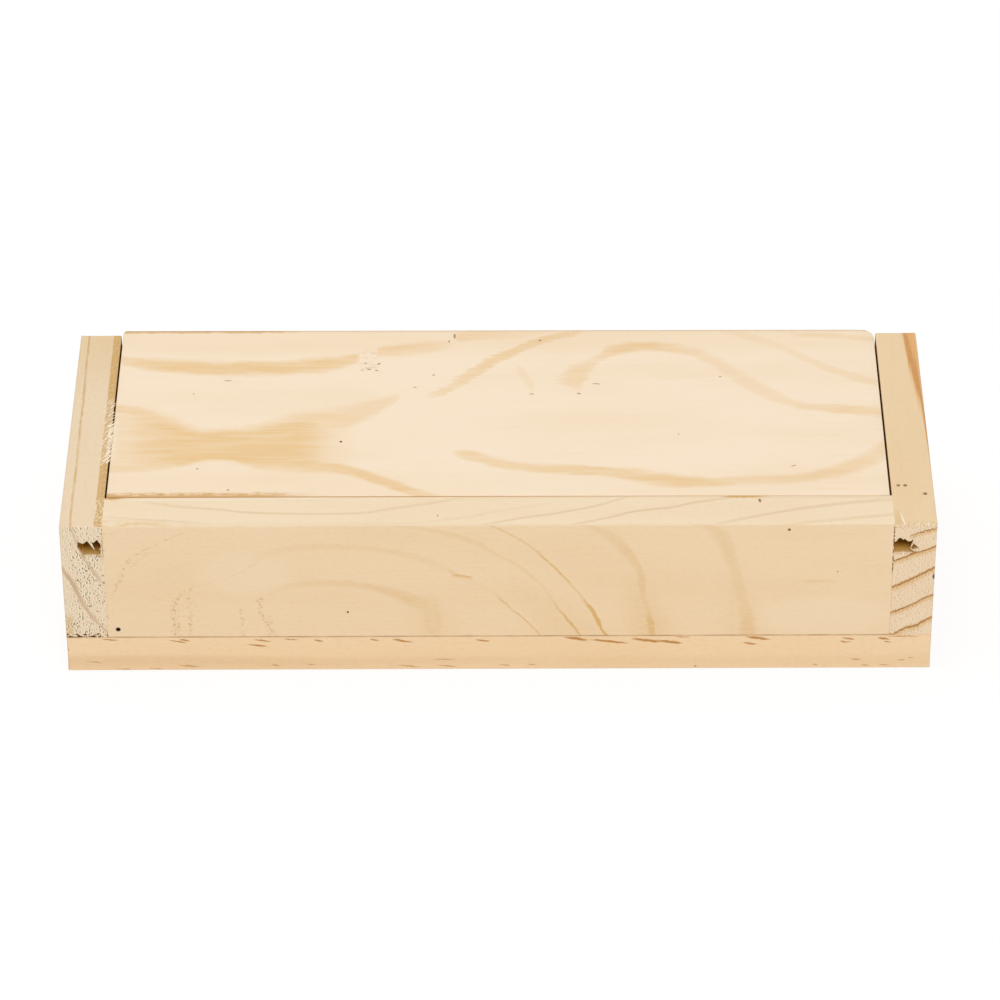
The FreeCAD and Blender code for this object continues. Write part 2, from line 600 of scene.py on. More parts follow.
# %% Holes and splinters
def bore(piece, holes):
    """Cut small tapered holes. Each is (place, way in, radius, depth), in millimetres."""
    cutters = []
    for place, way_in, radius, depth in holes:
        clear_selection()
        way_in = Vector(way_in).normalized()
        bpy.ops.mesh.primitive_cone_add(
            vertices=9,
            radius1=radius * MM,
            radius2=radius * 0.75 * MM,
            depth=2 * depth * MM,
            location=Vector(place) * MM,
        )
        cutter = bpy.context.object
        cutter.rotation_mode = "QUATERNION"
        cutter.rotation_quaternion = way_in.to_track_quat("Z", "Y")
        cutters.append(lay_down(cutter))
    cutter = join_to(cutters[0], cutters[1:])
    modifier = piece.modifiers.new("holes", "BOOLEAN")
    modifier.operation = "DIFFERENCE"
    modifier.object = cutter
    only(piece)
    bpy.ops.object.modifier_apply(modifier="holes")
    bpy.data.objects.remove(cutter)


def join_to(piece, others):
    """Make the other objects part of this piece's mesh."""
    clear_selection()
    for other in others:
        other.select_set(True)
    piece.select_set(True)
    bpy.context.view_layer.objects.active = piece
    bpy.ops.object.join()
    return piece


def splinter(root, tip, thick, sharpness=6):
    """A thin sliver of wood from its root to its tip, in millimetres."""
    clear_selection()
    root, tip = Vector(root), Vector(tip)
    bpy.ops.mesh.primitive_cone_add(
        vertices=5,
        radius1=thick / 2 * MM,
        radius2=thick / 2 / sharpness * MM,
        depth=(tip - root).length * MM,
        location=(root + tip) / 2 * MM,
    )
    sliver = bpy.context.object
    sliver.rotation_mode = "QUATERNION"
    sliver.rotation_quaternion = (tip - root).to_track_quat("Z", "Y")
    return lay_down(sliver)


# %% [markdown]
# ## The end walls
#
# Each end wall stands on the base with its grain from front to back. A saw cut the groove
# for the lid right through it, and at the front end the saw left a ragged mouth with torn
# teeth. A boolean would leave the mouth too clean. So the wall starts as a flat section,
# the groove's cells are deleted, and the section is pulled back in many steps. The points
# round the mouth are then moved one by one, and slivers of wood are added to it.

# %% End wall sizes
X, Y, Z = 0, 1, 2
left_low, left_high = corners("left_wall")
right_low, right_high = corners("right_wall")
inner_x, outer_x = right_low.x, right_high.x
front_y, back_y = left_low.y, left_high.y
base_top, wall_top = left_low.z, left_high.z
lid_low, lid_high = corners("lid")
groove_floor = lid_low.z
groove_height = 4.2
groove_depth = 5.2
groove_top = groove_floor + groove_height
groove_x = inner_x + groove_depth
print("groove", round(groove_floor, 1), "to", round(groove_top, 1), "mm above the table")


# %% One end wall from its section
def end_wall(side, name):
    """An end wall, side -1 or 1, as its section with the groove, pulled back in steps."""
    x_low, x_high = sorted((side * inner_x, side * outer_x))
    wall = upright_section(name, x_low, x_high, base_top, wall_top, front_y)
    edit(wall)
    mouth = [side * x for x in even_steps(inner_x, groove_x, 0.45)]
    slice_at(X, [*mouth, side * groove_x, side * (groove_x + 0.8), side * (groove_x + 2.6)])
    slice_at(Z, [*even_steps(base_top, groove_floor, 4.3), groove_floor])
    slice_at(Z, [*even_steps(groove_floor, groove_top, 0.6), groove_top])
    slice_at(Z, even_steps(groove_top, wall_top, 1.6))

    def in_groove(place):
        return abs(place.x) < groove_x and groove_floor < place.z < groove_top

    pick(wall, "FACE", in_groove)
    bpy.ops.mesh.delete(type="FACE")
    inside = even_steps(front_y + 1.4, back_y - 1.4, 3.0)
    ends = [front_y, front_y + 0.5, front_y + 1.4]
    pull_through([*ends, *inside, back_y - 1.4, back_y - 0.5, back_y])
    mend_normals()
    round_edges(wall, along_line(X, side * outer_x, Z, wall_top), 0.5)
    round_edges(wall, along_line(X, side * outer_x, Y, front_y), 0.5)
    round_edges(wall, along_line(X, side * outer_x, Y, back_y), 0.8)
    round_edges(wall, along_line(Y, back_y, Z, wall_top), 0.25)
    round_edges(wall, along_line(Y, front_y, Z, wall_top), 0.3, 2)
    round_edges(wall, along_line(Y, front_y, Z, base_top), 0.15, 1)
    round_edges(wall, along_line(X, side * inner_x, Y, front_y), 0.06 if side < 0 else 0.12, 1)
    return done(wall)


# %% Both end walls
def move_points(piece, wanted, shift):
    """Move the picked points by a shift that may depend on where each one is."""
    mesh = piece.data
    count = 0
    for point in mesh.vertices:
        place = point.co / MM
        if wanted(place):
            point.co += Vector(shift(place)) * MM
            count += 1
    return count


left_wall = end_wall(-1, "left_wall_wood")
right_wall = end_wall(1, "right_wall_wood")
for wall in (left_wall, right_wall):
    print(wall.name, len(wall.data.polygons), "faces")

# %% Ragged groove mouths
# How far the torn edge of each mouth hangs down, from the box's inside outwards.
left_teeth = (0.6, 0.1, -0.8, -0.3, 0.2, 0.0, 0.2, 0.1, -0.3, 0.2, 0.5, 0.4)
right_teeth = (0.7, 0.0, -0.5, -0.4, 0.1, -0.2, 0.2, -0.1, 0.6, 0.4, -0.2, -0.4)
left_jags = (0.2, -0.2, -0.5, -0.8, -1.0, -1.0, -0.9)
right_jags = (-0.6, 0.2, -0.9, -0.5, 0.1, 0.4, 0.5)


def tear_mouth(wall, side, teeth, jags):
    """Move the points of the mouth's upper and outer edge at the front of the groove."""

    def upper(place):
        across_mouth = inner_x + 0.1 < abs(place.x) < groove_x - 0.1
        return close(place.z, groove_top) and place.y < front_y + 0.6 and across_mouth

    def drop(place):
        share = (abs(place.x) - inner_x) / (groove_x - inner_x)
        tooth = teeth[min(int(share * len(teeth)), len(teeth) - 1)]
        depth = 1.0 if place.y < front_y + 0.2 else 0.5
        return (0, 0, -tooth * depth)

    def outer(place):
        up_mouth = groove_floor + 0.1 < place.z < groove_top + 0.1
        return close(abs(place.x), groove_x) and place.y < front_y + 3.0 and up_mouth

    def jag(place):
        share = (place.z - groove_floor) / groove_height
        step = jags[min(int(share * len(jags)), len(jags) - 1)]
        return (-side * step, 0, 0)

    def lower(place):
        at_front = place.y < front_y + 0.2 and abs(place.x) < groove_x - 0.3
        return close(place.z, groove_floor) and at_front

    def wear_down(place):
        return (0, 0, -0.5)

    moved = move_points(wall, upper, drop) + move_points(wall, outer, jag)
    return moved + move_points(wall, lower, wear_down)


print("torn points", tear_mouth(left_wall, -1, left_teeth, left_jags))
print("torn points", tear_mouth(right_wall, 1, right_teeth, right_jags))

# %% Slivers across the mouths
# Root and tip of each as (x, distance from the front, height above the groove's floor), and
# its thickness.
LEFT_SLIVERS = (
    ((-100.9, 0.5, 4.6), (-99.6, 0.2, 1.8), 1.0),
    ((-97.7, 0.6, 2.0), (-98.5, 0.4, 1.6), 0.7),
    ((-97.75, 0.7, 5.4), (-97.8, 0.6, 0.2), 1.2),
    ((-97.75, 0.7, -1.2), (-97.8, 0.6, 3.8), 1.2),
)
RIGHT_SLIVERS = (
    ((102.9, 0.4, 4.7), (101.6, 0.2, 1.4), 0.9),
    ((102.9, 0.4, 0.4), (101.5, 0.2, 1.4), 0.7),
    ((101.4, 0.4, 4.6), (101.2, 0.3, 3.4), 0.6),
)
mouth_foot = Vector((0, front_y, groove_floor))


def slivers(rows):
    made = []
    for root, tip, thick in rows:
        made.append(splinter(mouth_foot + Vector(root), mouth_foot + Vector(tip), thick))
    return made


left_slivers = slivers(LEFT_SLIVERS)
right_slivers = slivers(RIGHT_SLIVERS)
print(len(left_slivers) + len(right_slivers), "slivers")

# %% [markdown]
# ## The base, the front wall and the back wall
#
# These three are plain boards with sanded edges. Each starts as a box primitive of its own
# size and is sliced into short lengths, so that its mesh is even. Then its edges are rounded,
# some more than others, as sandpaper leaves them. Where two boards meet each has a tiny
# chamfer, which is why a joint shows as a fine dark line.


# %% Plain boards
def plain_board(name, node, slices, rounded):
    """A board the size of its construction node. Each rounded item is (edge test, radius)."""
    low, high = corners(node)
    board = block(name, low, high)
    edit(board)
    for axis, longest in slices:
        slice_at(axis, even_steps(low[axis], high[axis], longest))
    for test, radius in rounded:
        round_edges(board, test, radius, 3 if radius > 0.3 else 1)
    return done(board)


base_low, base_high = corners("base_board")
base = plain_board(
    "base_wood",
    "base_board",
    ((X, 3.0), (Y, 4.0), (Z, 2.5)),
    (
        (along_line(Y, base_low.y, Z, base_low.z), 0.3),
        (along_line(Y, base_high.y, Z, base_low.z), 0.5),
        (along_line(X, base_low.x, Z, base_low.z), 0.5),
        (along_line(X, base_high.x, Z, base_low.z), 0.4),
        (along_line(Y, base_low.y, Z, base_high.z), 0.25),
        (along_line(Y, base_high.y, Z, base_high.z), 0.25),
        (along_line(X, base_low.x, Y, base_low.y), 0.7),
        (along_line(X, base_high.x, Y, base_low.y), 0.5),
        (along_line(X, base_low.x, Y, base_high.y), 0.8),
        (along_line(X, base_high.x, Y, base_high.y), 0.8),
    ),
)
front_low, front_high = corners("front_wall")
front_wall = plain_board(
    "front_wall_wood",
    "front_wall",
    ((X, 3.0), (Y, 4.0), (Z, 3.0)),
    (
        (along_line(Y, front_low.y, Z, front_high.z), 0.35),
        (along_line(Y, front_high.y, Z, front_high.z), 0.08),
        (along_line(Y, front_low.y, Z, front_low.z), 0.15),
        (along_line(X, front_low.x, Y, front_low.y), 0.05),
        (along_line(X, front_high.x, Y, front_low.y), 0.12),
    ),
)
back_low, back_high = corners("back_wall")
back_wall = plain_board(
    "back_wall_wood",
    "back_wall",
    ((X, 3.0), (Y, 4.0), (Z, 3.0)),
    (
        (along_line(Y, back_high.y, Z, back_high.z), 0.6),
        (along_line(Y, back_high.y, Z, back_low.z), 0.15),
        (along_line(X, back_low.x, Y, back_high.y), 0.15),
        (along_line(X, back_high.x, Y, back_high.y), 0.15),
    ),
)
for board in (base, front_wall, back_wall):
    print(board.name, len(board.data.polygons), "faces")

# %% [markdown]
# ## The lid
#
# The lid is a board with a step cut along both short edges. The thin tongues that are left
# run in the grooves, and the full thickness between them fills the top of the box. Its
# section is drawn as the end walls' was: a flat rectangle is sliced, its two upper corners
# are deleted, and what is left is pulled back. The upright corners at the back are rounded
# a little on the left and much more on the right, as they are on the real one.

# %% Lid
lid_side_gap = 0.5
tongue_play = 0.4
corner_left, corner_right = 1.0, 3.0
warp = 0.35
shoulder_x = inner_x - lid_side_gap
tongue_top = groove_top - tongue_play
tongue_tip = lid_high.x
lid_front = lid_low.y + 0.03
lid = upright_section("lid_wood", lid_low.x, lid_high.x, lid_low.z, lid_high.z, lid_front)
edit(lid)
last_slice = shoulder_x - 4.5
middle_slices = even_steps(-shoulder_x, last_slice, 3.0)
slice_at(X, [-shoulder_x, *middle_slices, last_slice, shoulder_x])
slice_at(Z, [lid_low.z + 1.3, lid_low.z + 2.6, tongue_top, tongue_top + 2.7])


def above_tongue(place):
    return abs(place.x) > shoulder_x and place.z > tongue_top


pick(lid, "FACE", above_tongue)
bpy.ops.mesh.delete(type="FACE")
round_starts = lid_high.y - corner_right
quarter_turn = [step * math.pi / 16 for step in range(9)]
round_stops = [round_starts + corner_right * math.sin(angle) for angle in quarter_turn]
pull_through([lid_front, *even_steps(lid_front, round_starts, 3.0), *round_stops])
mend_normals()


# %% The lid's back corners and edges
def corner_inset(place):
    """How far a rounded back corner draws its shoulder in. The right one is rounder."""
    radius = corner_right if place.x > 0 else corner_left
    past = max(place.y - lid_high.y + radius, 0.0)
    return radius - math.sqrt(max(radius**2 - past**2, 0.0))


def on_shoulder(place):
    return close(abs(place.x), shoulder_x) and place.z > tongue_top - 0.01


def draw_in(place):
    return (-math.copysign(corner_inset(place), place.x), 0, 0)


def on_outline(place):
    on_side = close(abs(place.x), shoulder_x - corner_inset(place))
    return close(place.z, lid_high.z) and (on_side or close(place.y, lid_high.y))


def back_and_side_arris(a, b):
    """The edges of the lid's top, apart from the front one, rounded corners included."""
    return on_outline(a) and on_outline(b)


done(lid)
print("shoulder points", move_points(lid, on_shoulder, draw_in))
edit(lid)
round_edges(lid, along_line(X, tongue_tip, Y, lid_high.y), 0.4)
round_edges(lid, along_line(X, -tongue_tip, Y, lid_high.y), 0.4)
round_edges(lid, back_and_side_arris, 0.3, 2)
round_edges(lid, along_line(Y, lid_front, Z, lid_high.z), 0.2, 1)
round_edges(lid, along_line(Y, lid_high.y, Z, lid_low.z), 0.3, 1)
done(lid)


# %% The lid's warp
def near_lid_top(place):
    return place.z > lid_high.z - 1.0


def sink(place):
    """The lid is a little warped: its right end lies lower than its left one."""
    share = (place.x + shoulder_x) / (2 * shoulder_x)
    return (0, 0, -warp * share)


print("warped points", move_points(lid, near_lid_top, sink))
print(lid.name, len(lid.data.polygons), "faces")

# %% [markdown]
# ## Small holes, dents and torn fibres
#
# The real box has pinholes, a dent and the marks of the punch that set each brad. Each one
# is bored with a small tapered cutter, because a painted dot has no depth when the light
# grazes it. Then the torn fibres are laid on the inner top edge of the left wall, where a
# dull saw lifted them.

# %% Punch marks, pinholes and nicks
head_radius = 1.0
mark_radius = head_radius + 0.05
punch_depth = 0.32


def side_marks(side, word):
    """The marks above the four brads in one end wall."""
    marks = []
    for node in (word + "_front_brads", word + "_back_brads"):
        low, high = corners(node)
        for z in (low.z + head_radius, high.z - head_radius):
            place = (side * outer_x, (low.y + high.y) / 2, z)
            marks.append((place, (-side, 0, 0), mark_radius, punch_depth))
    return marks


def base_marks():
    """The marks below the ten brads in the base, which stand in four straight rows."""
    places = []
    for node in ("base_front_brads", "base_back_brads"):
        low, high = corners(node)
        for x in (low.x + head_radius, 0, high.x - head_radius):
            places.append((x, (low.y + high.y) / 2, 0))
    for node in ("base_left_brads", "base_right_brads"):
        low, high = corners(node)
        for y in (low.y + head_radius, high.y - head_radius):
            places.append(((low.x + high.x) / 2, y, 0))
    return [(place, (0, 0, 1), mark_radius, punch_depth) for place in places]


bore(left_wall, side_marks(-1, "left"))
bore(
    right_wall,
    [
        *side_marks(1, "right"),
        ((99.3, -26.0, wall_top), (0, 0, -1), 0.32, 1.5),
        ((101.0, -26.0, wall_top), (0, 0, -1), 0.36, 2.0),
        ((105.7, -29.5, wall_top), (0.3, 0.2, -1), 0.42, 1.8),
        ((outer_x, front_y + 0.2, 28.8), (-1, 0.6, 0), 0.7, 0.5),
    ],
)
bore(
    base,
    [
        *base_marks(),
        ((49.2, base_low.y, 0.8), (0, 1, 0.2), 0.35, 0.5),
        ((base_low.x + 0.1, base_low.y + 0.1, 6.6), (1, 1, 0), 0.5, 0.7),
    ],
)
bore(
    front_wall,
    [
        ((-94.9, front_low.y, 13.1), (0, 1, 0.3), 0.5, 2.0),
        ((71.6, front_low.y, 43.4), (0, 1, -0.4), 0.4, 0.9),
        ((-37.5, front_low.y, 18.3), (0, 1, 0), 0.28, 0.5),
    ],
)
join_to(left_wall, left_slivers)
join_to(right_wall, right_slivers)
print("holes bored")

# %% Torn fibres
random.seed(11)
torn_fibres = []
lying_x = -inner_x - 0.2
for count in range(50):
    y = 12.0 - 27.0 * count / 49 + random.uniform(-0.4, 0.4)
    x = lying_x - random.uniform(0.0, 1.6)
    reach = random.uniform(0.7, 1.6)
    root = (x - reach * 0.45, y - reach * 0.9, wall_top - 0.12)
    tip_x = min(x + reach * 0.55, lying_x + 0.25)
    tip = (tip_x, y + reach * 0.6, wall_top - random.uniform(-0.1, 0.1))
    torn_fibres.append(splinter(root, tip, random.uniform(0.3, 0.5)))
for count in range(34):
    y = 1.5 - 16.5 * count / 33 + random.uniform(-0.25, 0.25)
    root = (lying_x - 0.2 - random.uniform(0.0, 0.5), y - 0.7, wall_top - 0.15)
    tip_x = -shoulder_x + random.uniform(0.0, 0.1)
    tip_y = y + random.uniform(0.0, 0.5)
    tip = (tip_x, tip_y, wall_top + random.uniform(0.25, 0.36))
    torn_fibres.append(splinter(root, tip, random.uniform(0.36, 0.56), 2))
for y in (2.6, 4.1, 5.3, 6.6, 9.7, 10.6):
    root = (lying_x - 0.1, y - 0.6, wall_top - 0.15)
    torn_fibres.append(splinter(root, (-shoulder_x - 0.05, y, wall_top + 0.1), 0.45))
fibres_piece = join_to(torn_fibres[0], torn_fibres[1:])
fibres_piece.name = "left_wall_torn_fibres"
print(len(torn_fibres), "torn fibres")

# %% [markdown]
# ## The lid's grain
#
# The lid was cut from near the outside of a tree, so its rings lie almost flat and show as
# broad soft bands: an hourglass on the left, a hook at the back and a long wave at the
# right. Along is the distance from the left end of the lid and across is the distance from
# a line just behind it. The bands lean as they go down through the wood, so the underside
# shows the same figure, moved.

# %% Lid lines
# Each point of a line: (along, across, half width, strength).
LID_BANDS = (
    ((0, 13.1, 1.4, 0.5), (7.5, 15.3, 2.3, 0.7), (18, 16.9, 2.7, 0.85), (31, 17.4, 2.7, 0.88),
     (37, 17.4, 2.7, 0.88), (43, 17, 2.8, 0.88), (50, 16.1, 2.9, 0.85), (55, 15.3, 2.7, 0.85),
     (60, 13.4, 2.2, 0.8), (62, 12.8, 1.4, 0)),
    ((66.3, 10.3, 2, 0), (66.8, 10, 2, 0.65), (72, 9.2, 2.3, 0.62), (77, 8.6, 2.4, 0.5),
     (82, 7.5, 2.2, 0.38), (87, 5.9, 1.5, 0)),
    ((86, 3.4, 0.5, 0), (88, 3, 2.2, 0.55), (94, 2.5, 2, 0.4), (104, 2.2, 1.8, 0.22),
     (112, 1.5, 1, 0)),
    ((124, 12.5, 2, 0), (125, 11, 2.4, 0.55), (127.5, 9.6, 2.3, 0.7), (130, 8.5, 2.3, 0.74),
     (136, 7.8, 1.9, 0.75), (140, 8.1, 1.9, 0.56), (144, 9, 1.9, 0.48), (150, 12.1, 2.4, 0.36),
     (155, 17.2, 2.8, 0.32), (160, 23.2, 3.2, 0.34), (165, 27.8, 3, 0.36),
     (170, 31.8, 2.2, 0.34), (175, 34.7, 1.6, 0.48), (180, 35.5, 1.7, 0.58),
     (187.5, 36.2, 1.9, 0.56), (195, 37.5, 2.4, 0.45)),
    ((154, -0.5, 1.2, 0), (157, 1.5, 1.4, 0.22), (162, 3.6, 1.5, 0.28), (168, 6.8, 1.5, 0.22),
     (175, 12.3, 1.5, 0.26), (183.5, 19, 1.6, 0.32), (190, 22.6, 1.6, 0.36),
     (195, 24.6, 1.6, 0.34)),
    ((172, 2, 0.8, 0), (178, 2.8, 1, 0.34), (186, 3.8, 1, 0.35), (195, 4.8, 1.2, 0.4)),
    ((86, 54.2, 1.2, 0), (88.5, 55.3, 1.9, 0.55), (91.5, 56.1, 2.2, 0.7), (95, 57.8, 1.9, 0.6),
     (101, 60.1, 1.8, 0.6), (109, 61.4, 1.8, 0.62), (117, 62, 1.8, 0.7), (125, 62.8, 1.8, 0.74),
     (132, 64.5, 2.4, 0.72), (139, 66.2, 2.5, 0.78), (148, 67.4, 1.9, 0.72),
     (153, 67.2, 1.8, 0.6), (160, 66.4, 1.7, 0.54), (167, 66.2, 1.7, 0.5),
     (172, 65.8, 1.8, 0.48), (178, 63.9, 2.1, 0.55), (184, 61.5, 2.6, 0.56),
     (190, 57.6, 3.4, 0.5), (195, 52.8, 3.8, 0.45)),
    ((0, 34.8, 1.8, 0.6), (6, 36.4, 2.2, 0.65), (12, 39.4, 2.2, 0.5), (18, 43.6, 2, 0.2),
     (26, 46, 2, 0)),
    ((36, 45, 2, 0), (42, 41.6, 3, 0.28), (48, 39.4, 2.8, 0.48), (54, 40.2, 4.4, 0.54),
     (58, 39.8, 4.8, 0.52), (62, 37.4, 4.2, 0.52), (66, 35, 3.4, 0.48), (70, 32, 2.2, 0.4),
     (73, 29.8, 1, 0)),
    ((0, 60.6, 1.5, 0.55), (8, 60.8, 1.5, 0.56), (14, 59.9, 1.5, 0.56), (20, 58, 1.3, 0.35),
     (26, 56.9, 1.1, 0.2), (32, 58.1, 1.3, 0.2), (38, 60, 1.6, 0.3), (46, 60.8, 1.9, 0.48),
     (54, 60.5, 2.2, 0.7), (60, 62, 2.1, 0.78), (65, 64.3, 2, 0.8), (70, 67.1, 1.9, 0.78),
     (75, 70, 1.7, 0.7), (80, 72.4, 1.3, 0.5), (85, 75, 1.2, 0)),
    ((101.5, 16.5, 1, 0), (103.5, 20, 2.6, 0.24), (106, 25, 2.6, 0.22), (107, 28, 1, 0)),
)
LID_HOURGLASS = (
    (0, 47.5, 12, 0.3), (4, 47.8, 12.2, 0.42), (8, 48.3, 12.2, 0.66), (12, 49.4, 11.2, 0.8),
    (16, 50.4, 9.6, 0.88), (20, 51.4, 7.9, 0.9), (25, 51.1, 6.4, 0.92), (30, 51.1, 6.5, 0.95),
    (35, 51.9, 7.7, 0.92), (40, 51.3, 9.5, 0.9), (45, 50.7, 10.8, 0.9), (50, 50, 12, 0.78),
    (53, 49.7, 12.3, 0.5), (57, 48.8, 12.3, 0.24), (63, 47, 12, 0),
)
LID_TOOTHED = (
    ((79.5, 30, 1, 0), (81.5, 29, 1.4, 0.4), (85, 26, 2, 0.5), (88, 23.1, 2.4, 0.56),
     (92, 18.7, 2.6, 0.62), (96, 14.3, 2.2, 0.68), (100, 11.3, 2, 0.68), (105, 7.6, 1.8, 0.66),
     (110, 4.5, 1.7, 0.6), (116, 2, 1.4, 0.55), (120, 0, 1, 0)),
    ((112.5, 22.5, 2, 0), (115, 21.8, 3.4, 0.42), (118, 21, 5, 0.48), (120, 18.6, 4.2, 0.42),
     (122.5, 14.6, 2.2, 0.34), (125, 11.4, 2.3, 0.52), (128, 9.6, 1.8, 0)),
)
# Torn spots: (place, length, width, slope).
LID_SPOTS = (
    ((63.4, 15.2), 1.0, 0.5, -0.2), ((64.4, 17.9), 1.4, 0.6, 0.2), ((66.9, 15.4), 1.0, 0.9, -0.4),
    ((66.4, 18.4), 1.2, 0.5, 0.3), ((62.6, 18.2), 0.7, 0.4, 0.1), ((81.0, 20.5), 1.1, 0.5, -0.3),
    ((76.3, 26.0), 1.2, 0.4, 0.4), ((86.2, 3.0), 0.7, 2.8, 0.0), ((84.8, 5.4), 0.5, 1.2, 0.0),
    ((118.0, 28.9), 1.4, 0.6, 0.2), ((106.0, 29.0), 1.3, 0.5, 0.1),
    ((122.6, 24.6), 2.6, 0.4, 0.1), ((108.3, 5.0), 0.9, 0.9, 0.3), ((58.0, 49.6), 0.7, 0.7, 0.0),
    ((142.9, 46.7), 0.5, 0.5, 0.0), ((20.0, 28.6), 0.5, 0.5, 0.0),
    ((171.2, 60.4), 1.6, 0.4, -0.3), ((154.2, 21.5), 0.8, 0.5, 0.0),
    ((28.5, 22.8), 2.6, 0.4, 0.05), ((22.5, 61.0), 0.7, 0.6, 0.2), ((30.5, 70.0), 0.8, 0.7, 0.0),
)

# %% Lid bands
wood = Finish("lid_pine_finish")
along = wood.x + inner_x
depth = lid_high.z - wood.z
across = lid_high.y + 0.3 - wood.y + depth * 0.6
waver = wood.cloud(along * 0.1, across * 0.35, 3.0, 4.0, 0.65)
soft_across = across - 1.7 + waver * 3.4
bands = most(grain_line(along, soft_across, line, 0.6, 0.55) for line in LID_BANDS)
hourglass = grain_line(along, soft_across, LID_HOURGLASS, 0.4, 0.2)
teeth = wood.cloud(along * 0.16, across * 1.3, 9.0, 3.0)
toothed_along = along - 3.0 + teeth * 6.0
toothed = most(grain_line(toothed_along, soft_across, line, 0.4, 0.35) for line in LID_TOOTHED)
uneven = wood.cloud(along * 0.06, across * 0.45, 8.0, 4.0, 0.6)
rings = (bands | hourglass | toothed) * uneven.fade(0.3, 0.62, 0.72, 1.12)
streak = bare_pine(along, across, depth, 2.0, rings, LID_PALE, LID_GOLD, 0.05)
yellowed = across.fall(7.0, 13.0) | across.rise(59.0, 66.0) * along.fade(60.0, 100.0, 1.0, 0.3)
wood.stain(yellowed * 0.17, STAIN_GOLD)
print("lid lines", len(LID_BANDS) + len(LID_TOOTHED) + 1)

# %% Tan, painted shade and frayed fibres at the lid's edges
on_top = wood.facing[Z].rise(0.4, 0.8)
# Tan along the lid's back edge, and along its front edge a tan band that is partly painted shade
# where the lid meets the front wall.
ragged = across - 1.2 + wood.cloud(along * 0.22, 0.0, 5.0, 4.0, 0.6) * 2.4
patches = wood.cloud(along * 0.35, across * 0.8, 12.0, 3.0, 0.6)
tan_part = ragged.rise(70.7, 71.7) * patches.fade(0.4, 0.6, 0.35, 0.95)
front_edge_tan_and_shade = (tan_part | ragged.rise(71.9, 72.3)) * along.fall(36.0, 56.0)
back_edge_tan = ragged.fall(0.9, 1.8) * along.fade(38.0, 48.0, 0.8, 0.15)
wood.cover((front_edge_tan_and_shade | back_edge_tan) * on_top, EDGE_TAN_AND_SHADE)
# Painted shade: the lid's shoulders and front face, which stand in the gaps and against the front
# wall, are covered darker.
shoulder = abs(wood.x).rise(shoulder_x - 0.12, shoulder_x - 0.02)
front_face = wood.y.fall(lid_front + 0.02, lid_front + 0.12)
wood.cover((shoulder | front_face) * (1.0 - on_top) * 0.75, GAP_SHADE_TAN)
fray = wood.cloud(along * 0.9, (across + along) * 1.6, 7.0).rise(0.48, 0.56)
frayed = along.fall(1.0, 2.2) * across.window(39.0, 41.0, 56.0, 58.0) * fray * on_top
wood.cover(frayed * 0.8, END_CREAM)

# %% Torn spots and flakes on the lid
spots = most(dash(along, across, *spot) for spot in LID_SPOTS)
flakes = wood.cloud(along * 0.5, across * 0.9, 6.0, 4.0, 0.7).rise(0.5, 0.62)
flaked = flakes * along.window(60.0, 64.0, 66.0, 67.0) * across.window(7.0, 11.0, 17.0, 20.0)
wood.stain(flaked * on_top * 0.35, STAIN_BROWN)
wood.stain(spots * on_top * 0.8, STAIN_PORE)
# Painted shade in a small pit.
dot = dash(along, across, (58.0, 49.6), 0.9, 0.9)
wood.cover(dot * on_top * 0.8, HOLE_SHADE)
lid_pine = wood.finish(streak - spots * 2.0, 0.05, 0.72)
print("lid spots", len(LID_SPOTS))

# %% [markdown]
# ## The front wall's grain
#
# The front wall was sawn so that the rings stand steep in its front face: they come in from
# the top and bend down to the right, like the side of an onion. Where a ring meets the
# face at a low angle the line is wide and soft, and where it meets it square it is thin and
# orange. Its narrow top shows the same rings as long shallow arcs. So each face gets its own
# lines, split by which way the surface faces.

# %% Front wall lines
# Face lines that run down: (drop, along, half width, strength).
FRONT_STEEP = (
    ((13, 84.8, 0.38, 0), (15.2, 87.4, 0.45, 0.45), (16.2, 89.7, 0.4, 0.3),
     (18.5, 93.3, 0.3, 0.1), (21.5, 96.8, 0.34, 0.25), (22.5, 97.8, 0.38, 0.45),
     (25, 99.9, 0.26, 0.6), (29.4, 104.2, 0.26, 0.75), (34.5, 108.2, 0.3, 0.6)),
    ((0, 74, 3, 0.15), (4.4, 90, 1.8, 0.2), (8.8, 96.9, 0.9, 0.15), (12, 101.8, 0.8, 0.2),
     (15, 105.1, 0.75, 0.22), (18, 107.5, 0.6, 0.14), (21.3, 109.8, 0.52, 0.2),
     (24, 111.2, 0.45, 0.35), (27, 113.1, 0.41, 0.75), (29, 114.5, 0.4, 1.0),
     (34.5, 118.1, 0.34, 0.9)),
    ((0, 95.6, 0.6, 0.35), (3, 100.9, 0.5, 0.42), (6, 105, 0.45, 0.42), (9, 107.8, 0.4, 0.6),
     (12, 110.5, 0.36, 0.75), (15, 113.1, 0.34, 0.75), (18, 115.3, 0.36, 0.6),
     (21, 117.4, 0.36, 0.45), (24, 119.4, 0.4, 0.7), (26, 120.7, 0.52, 1.4),
     (29, 121.9, 0.52, 1.5), (31.5, 122.8, 0.42, 1.4), (34.5, 124.4, 0.36, 1.2)),
    ((0, 119.5, 1.8, 0.18), (3, 124.7, 2, 0.22), (6, 127.5, 1.8, 0.26), (9, 129.6, 1.4, 0.34),
     (12, 131.4, 1, 0.32), (15, 132.7, 0.9, 0.34), (18.8, 133.1, 0.85, 0.36),
     (22, 133.3, 0.85, 0.34), (25, 134, 0.9, 0.36), (28, 134.8, 0.98, 0.5),
     (30.5, 135.5, 0.98, 0.72), (34.5, 135.8, 0.7, 0.62)),
    ((0, 147.6, 2.4, 0.2), (6.3, 153.9, 1.8, 0.26), (9, 154.4, 1.6, 0.28),
     (13.8, 156, 1.5, 0.22), (18, 156.8, 1.6, 0.24), (24, 158, 1.7, 0.26), (28, 159.2, 1.8, 0.4),
     (34.5, 159.5, 2, 0.4)),
    ((20, 79.8, 1.6, 0), (25, 80.5, 2.4, 0.22), (31, 81, 2.6, 0.28), (34.5, 81, 2.4, 0.1)),
)
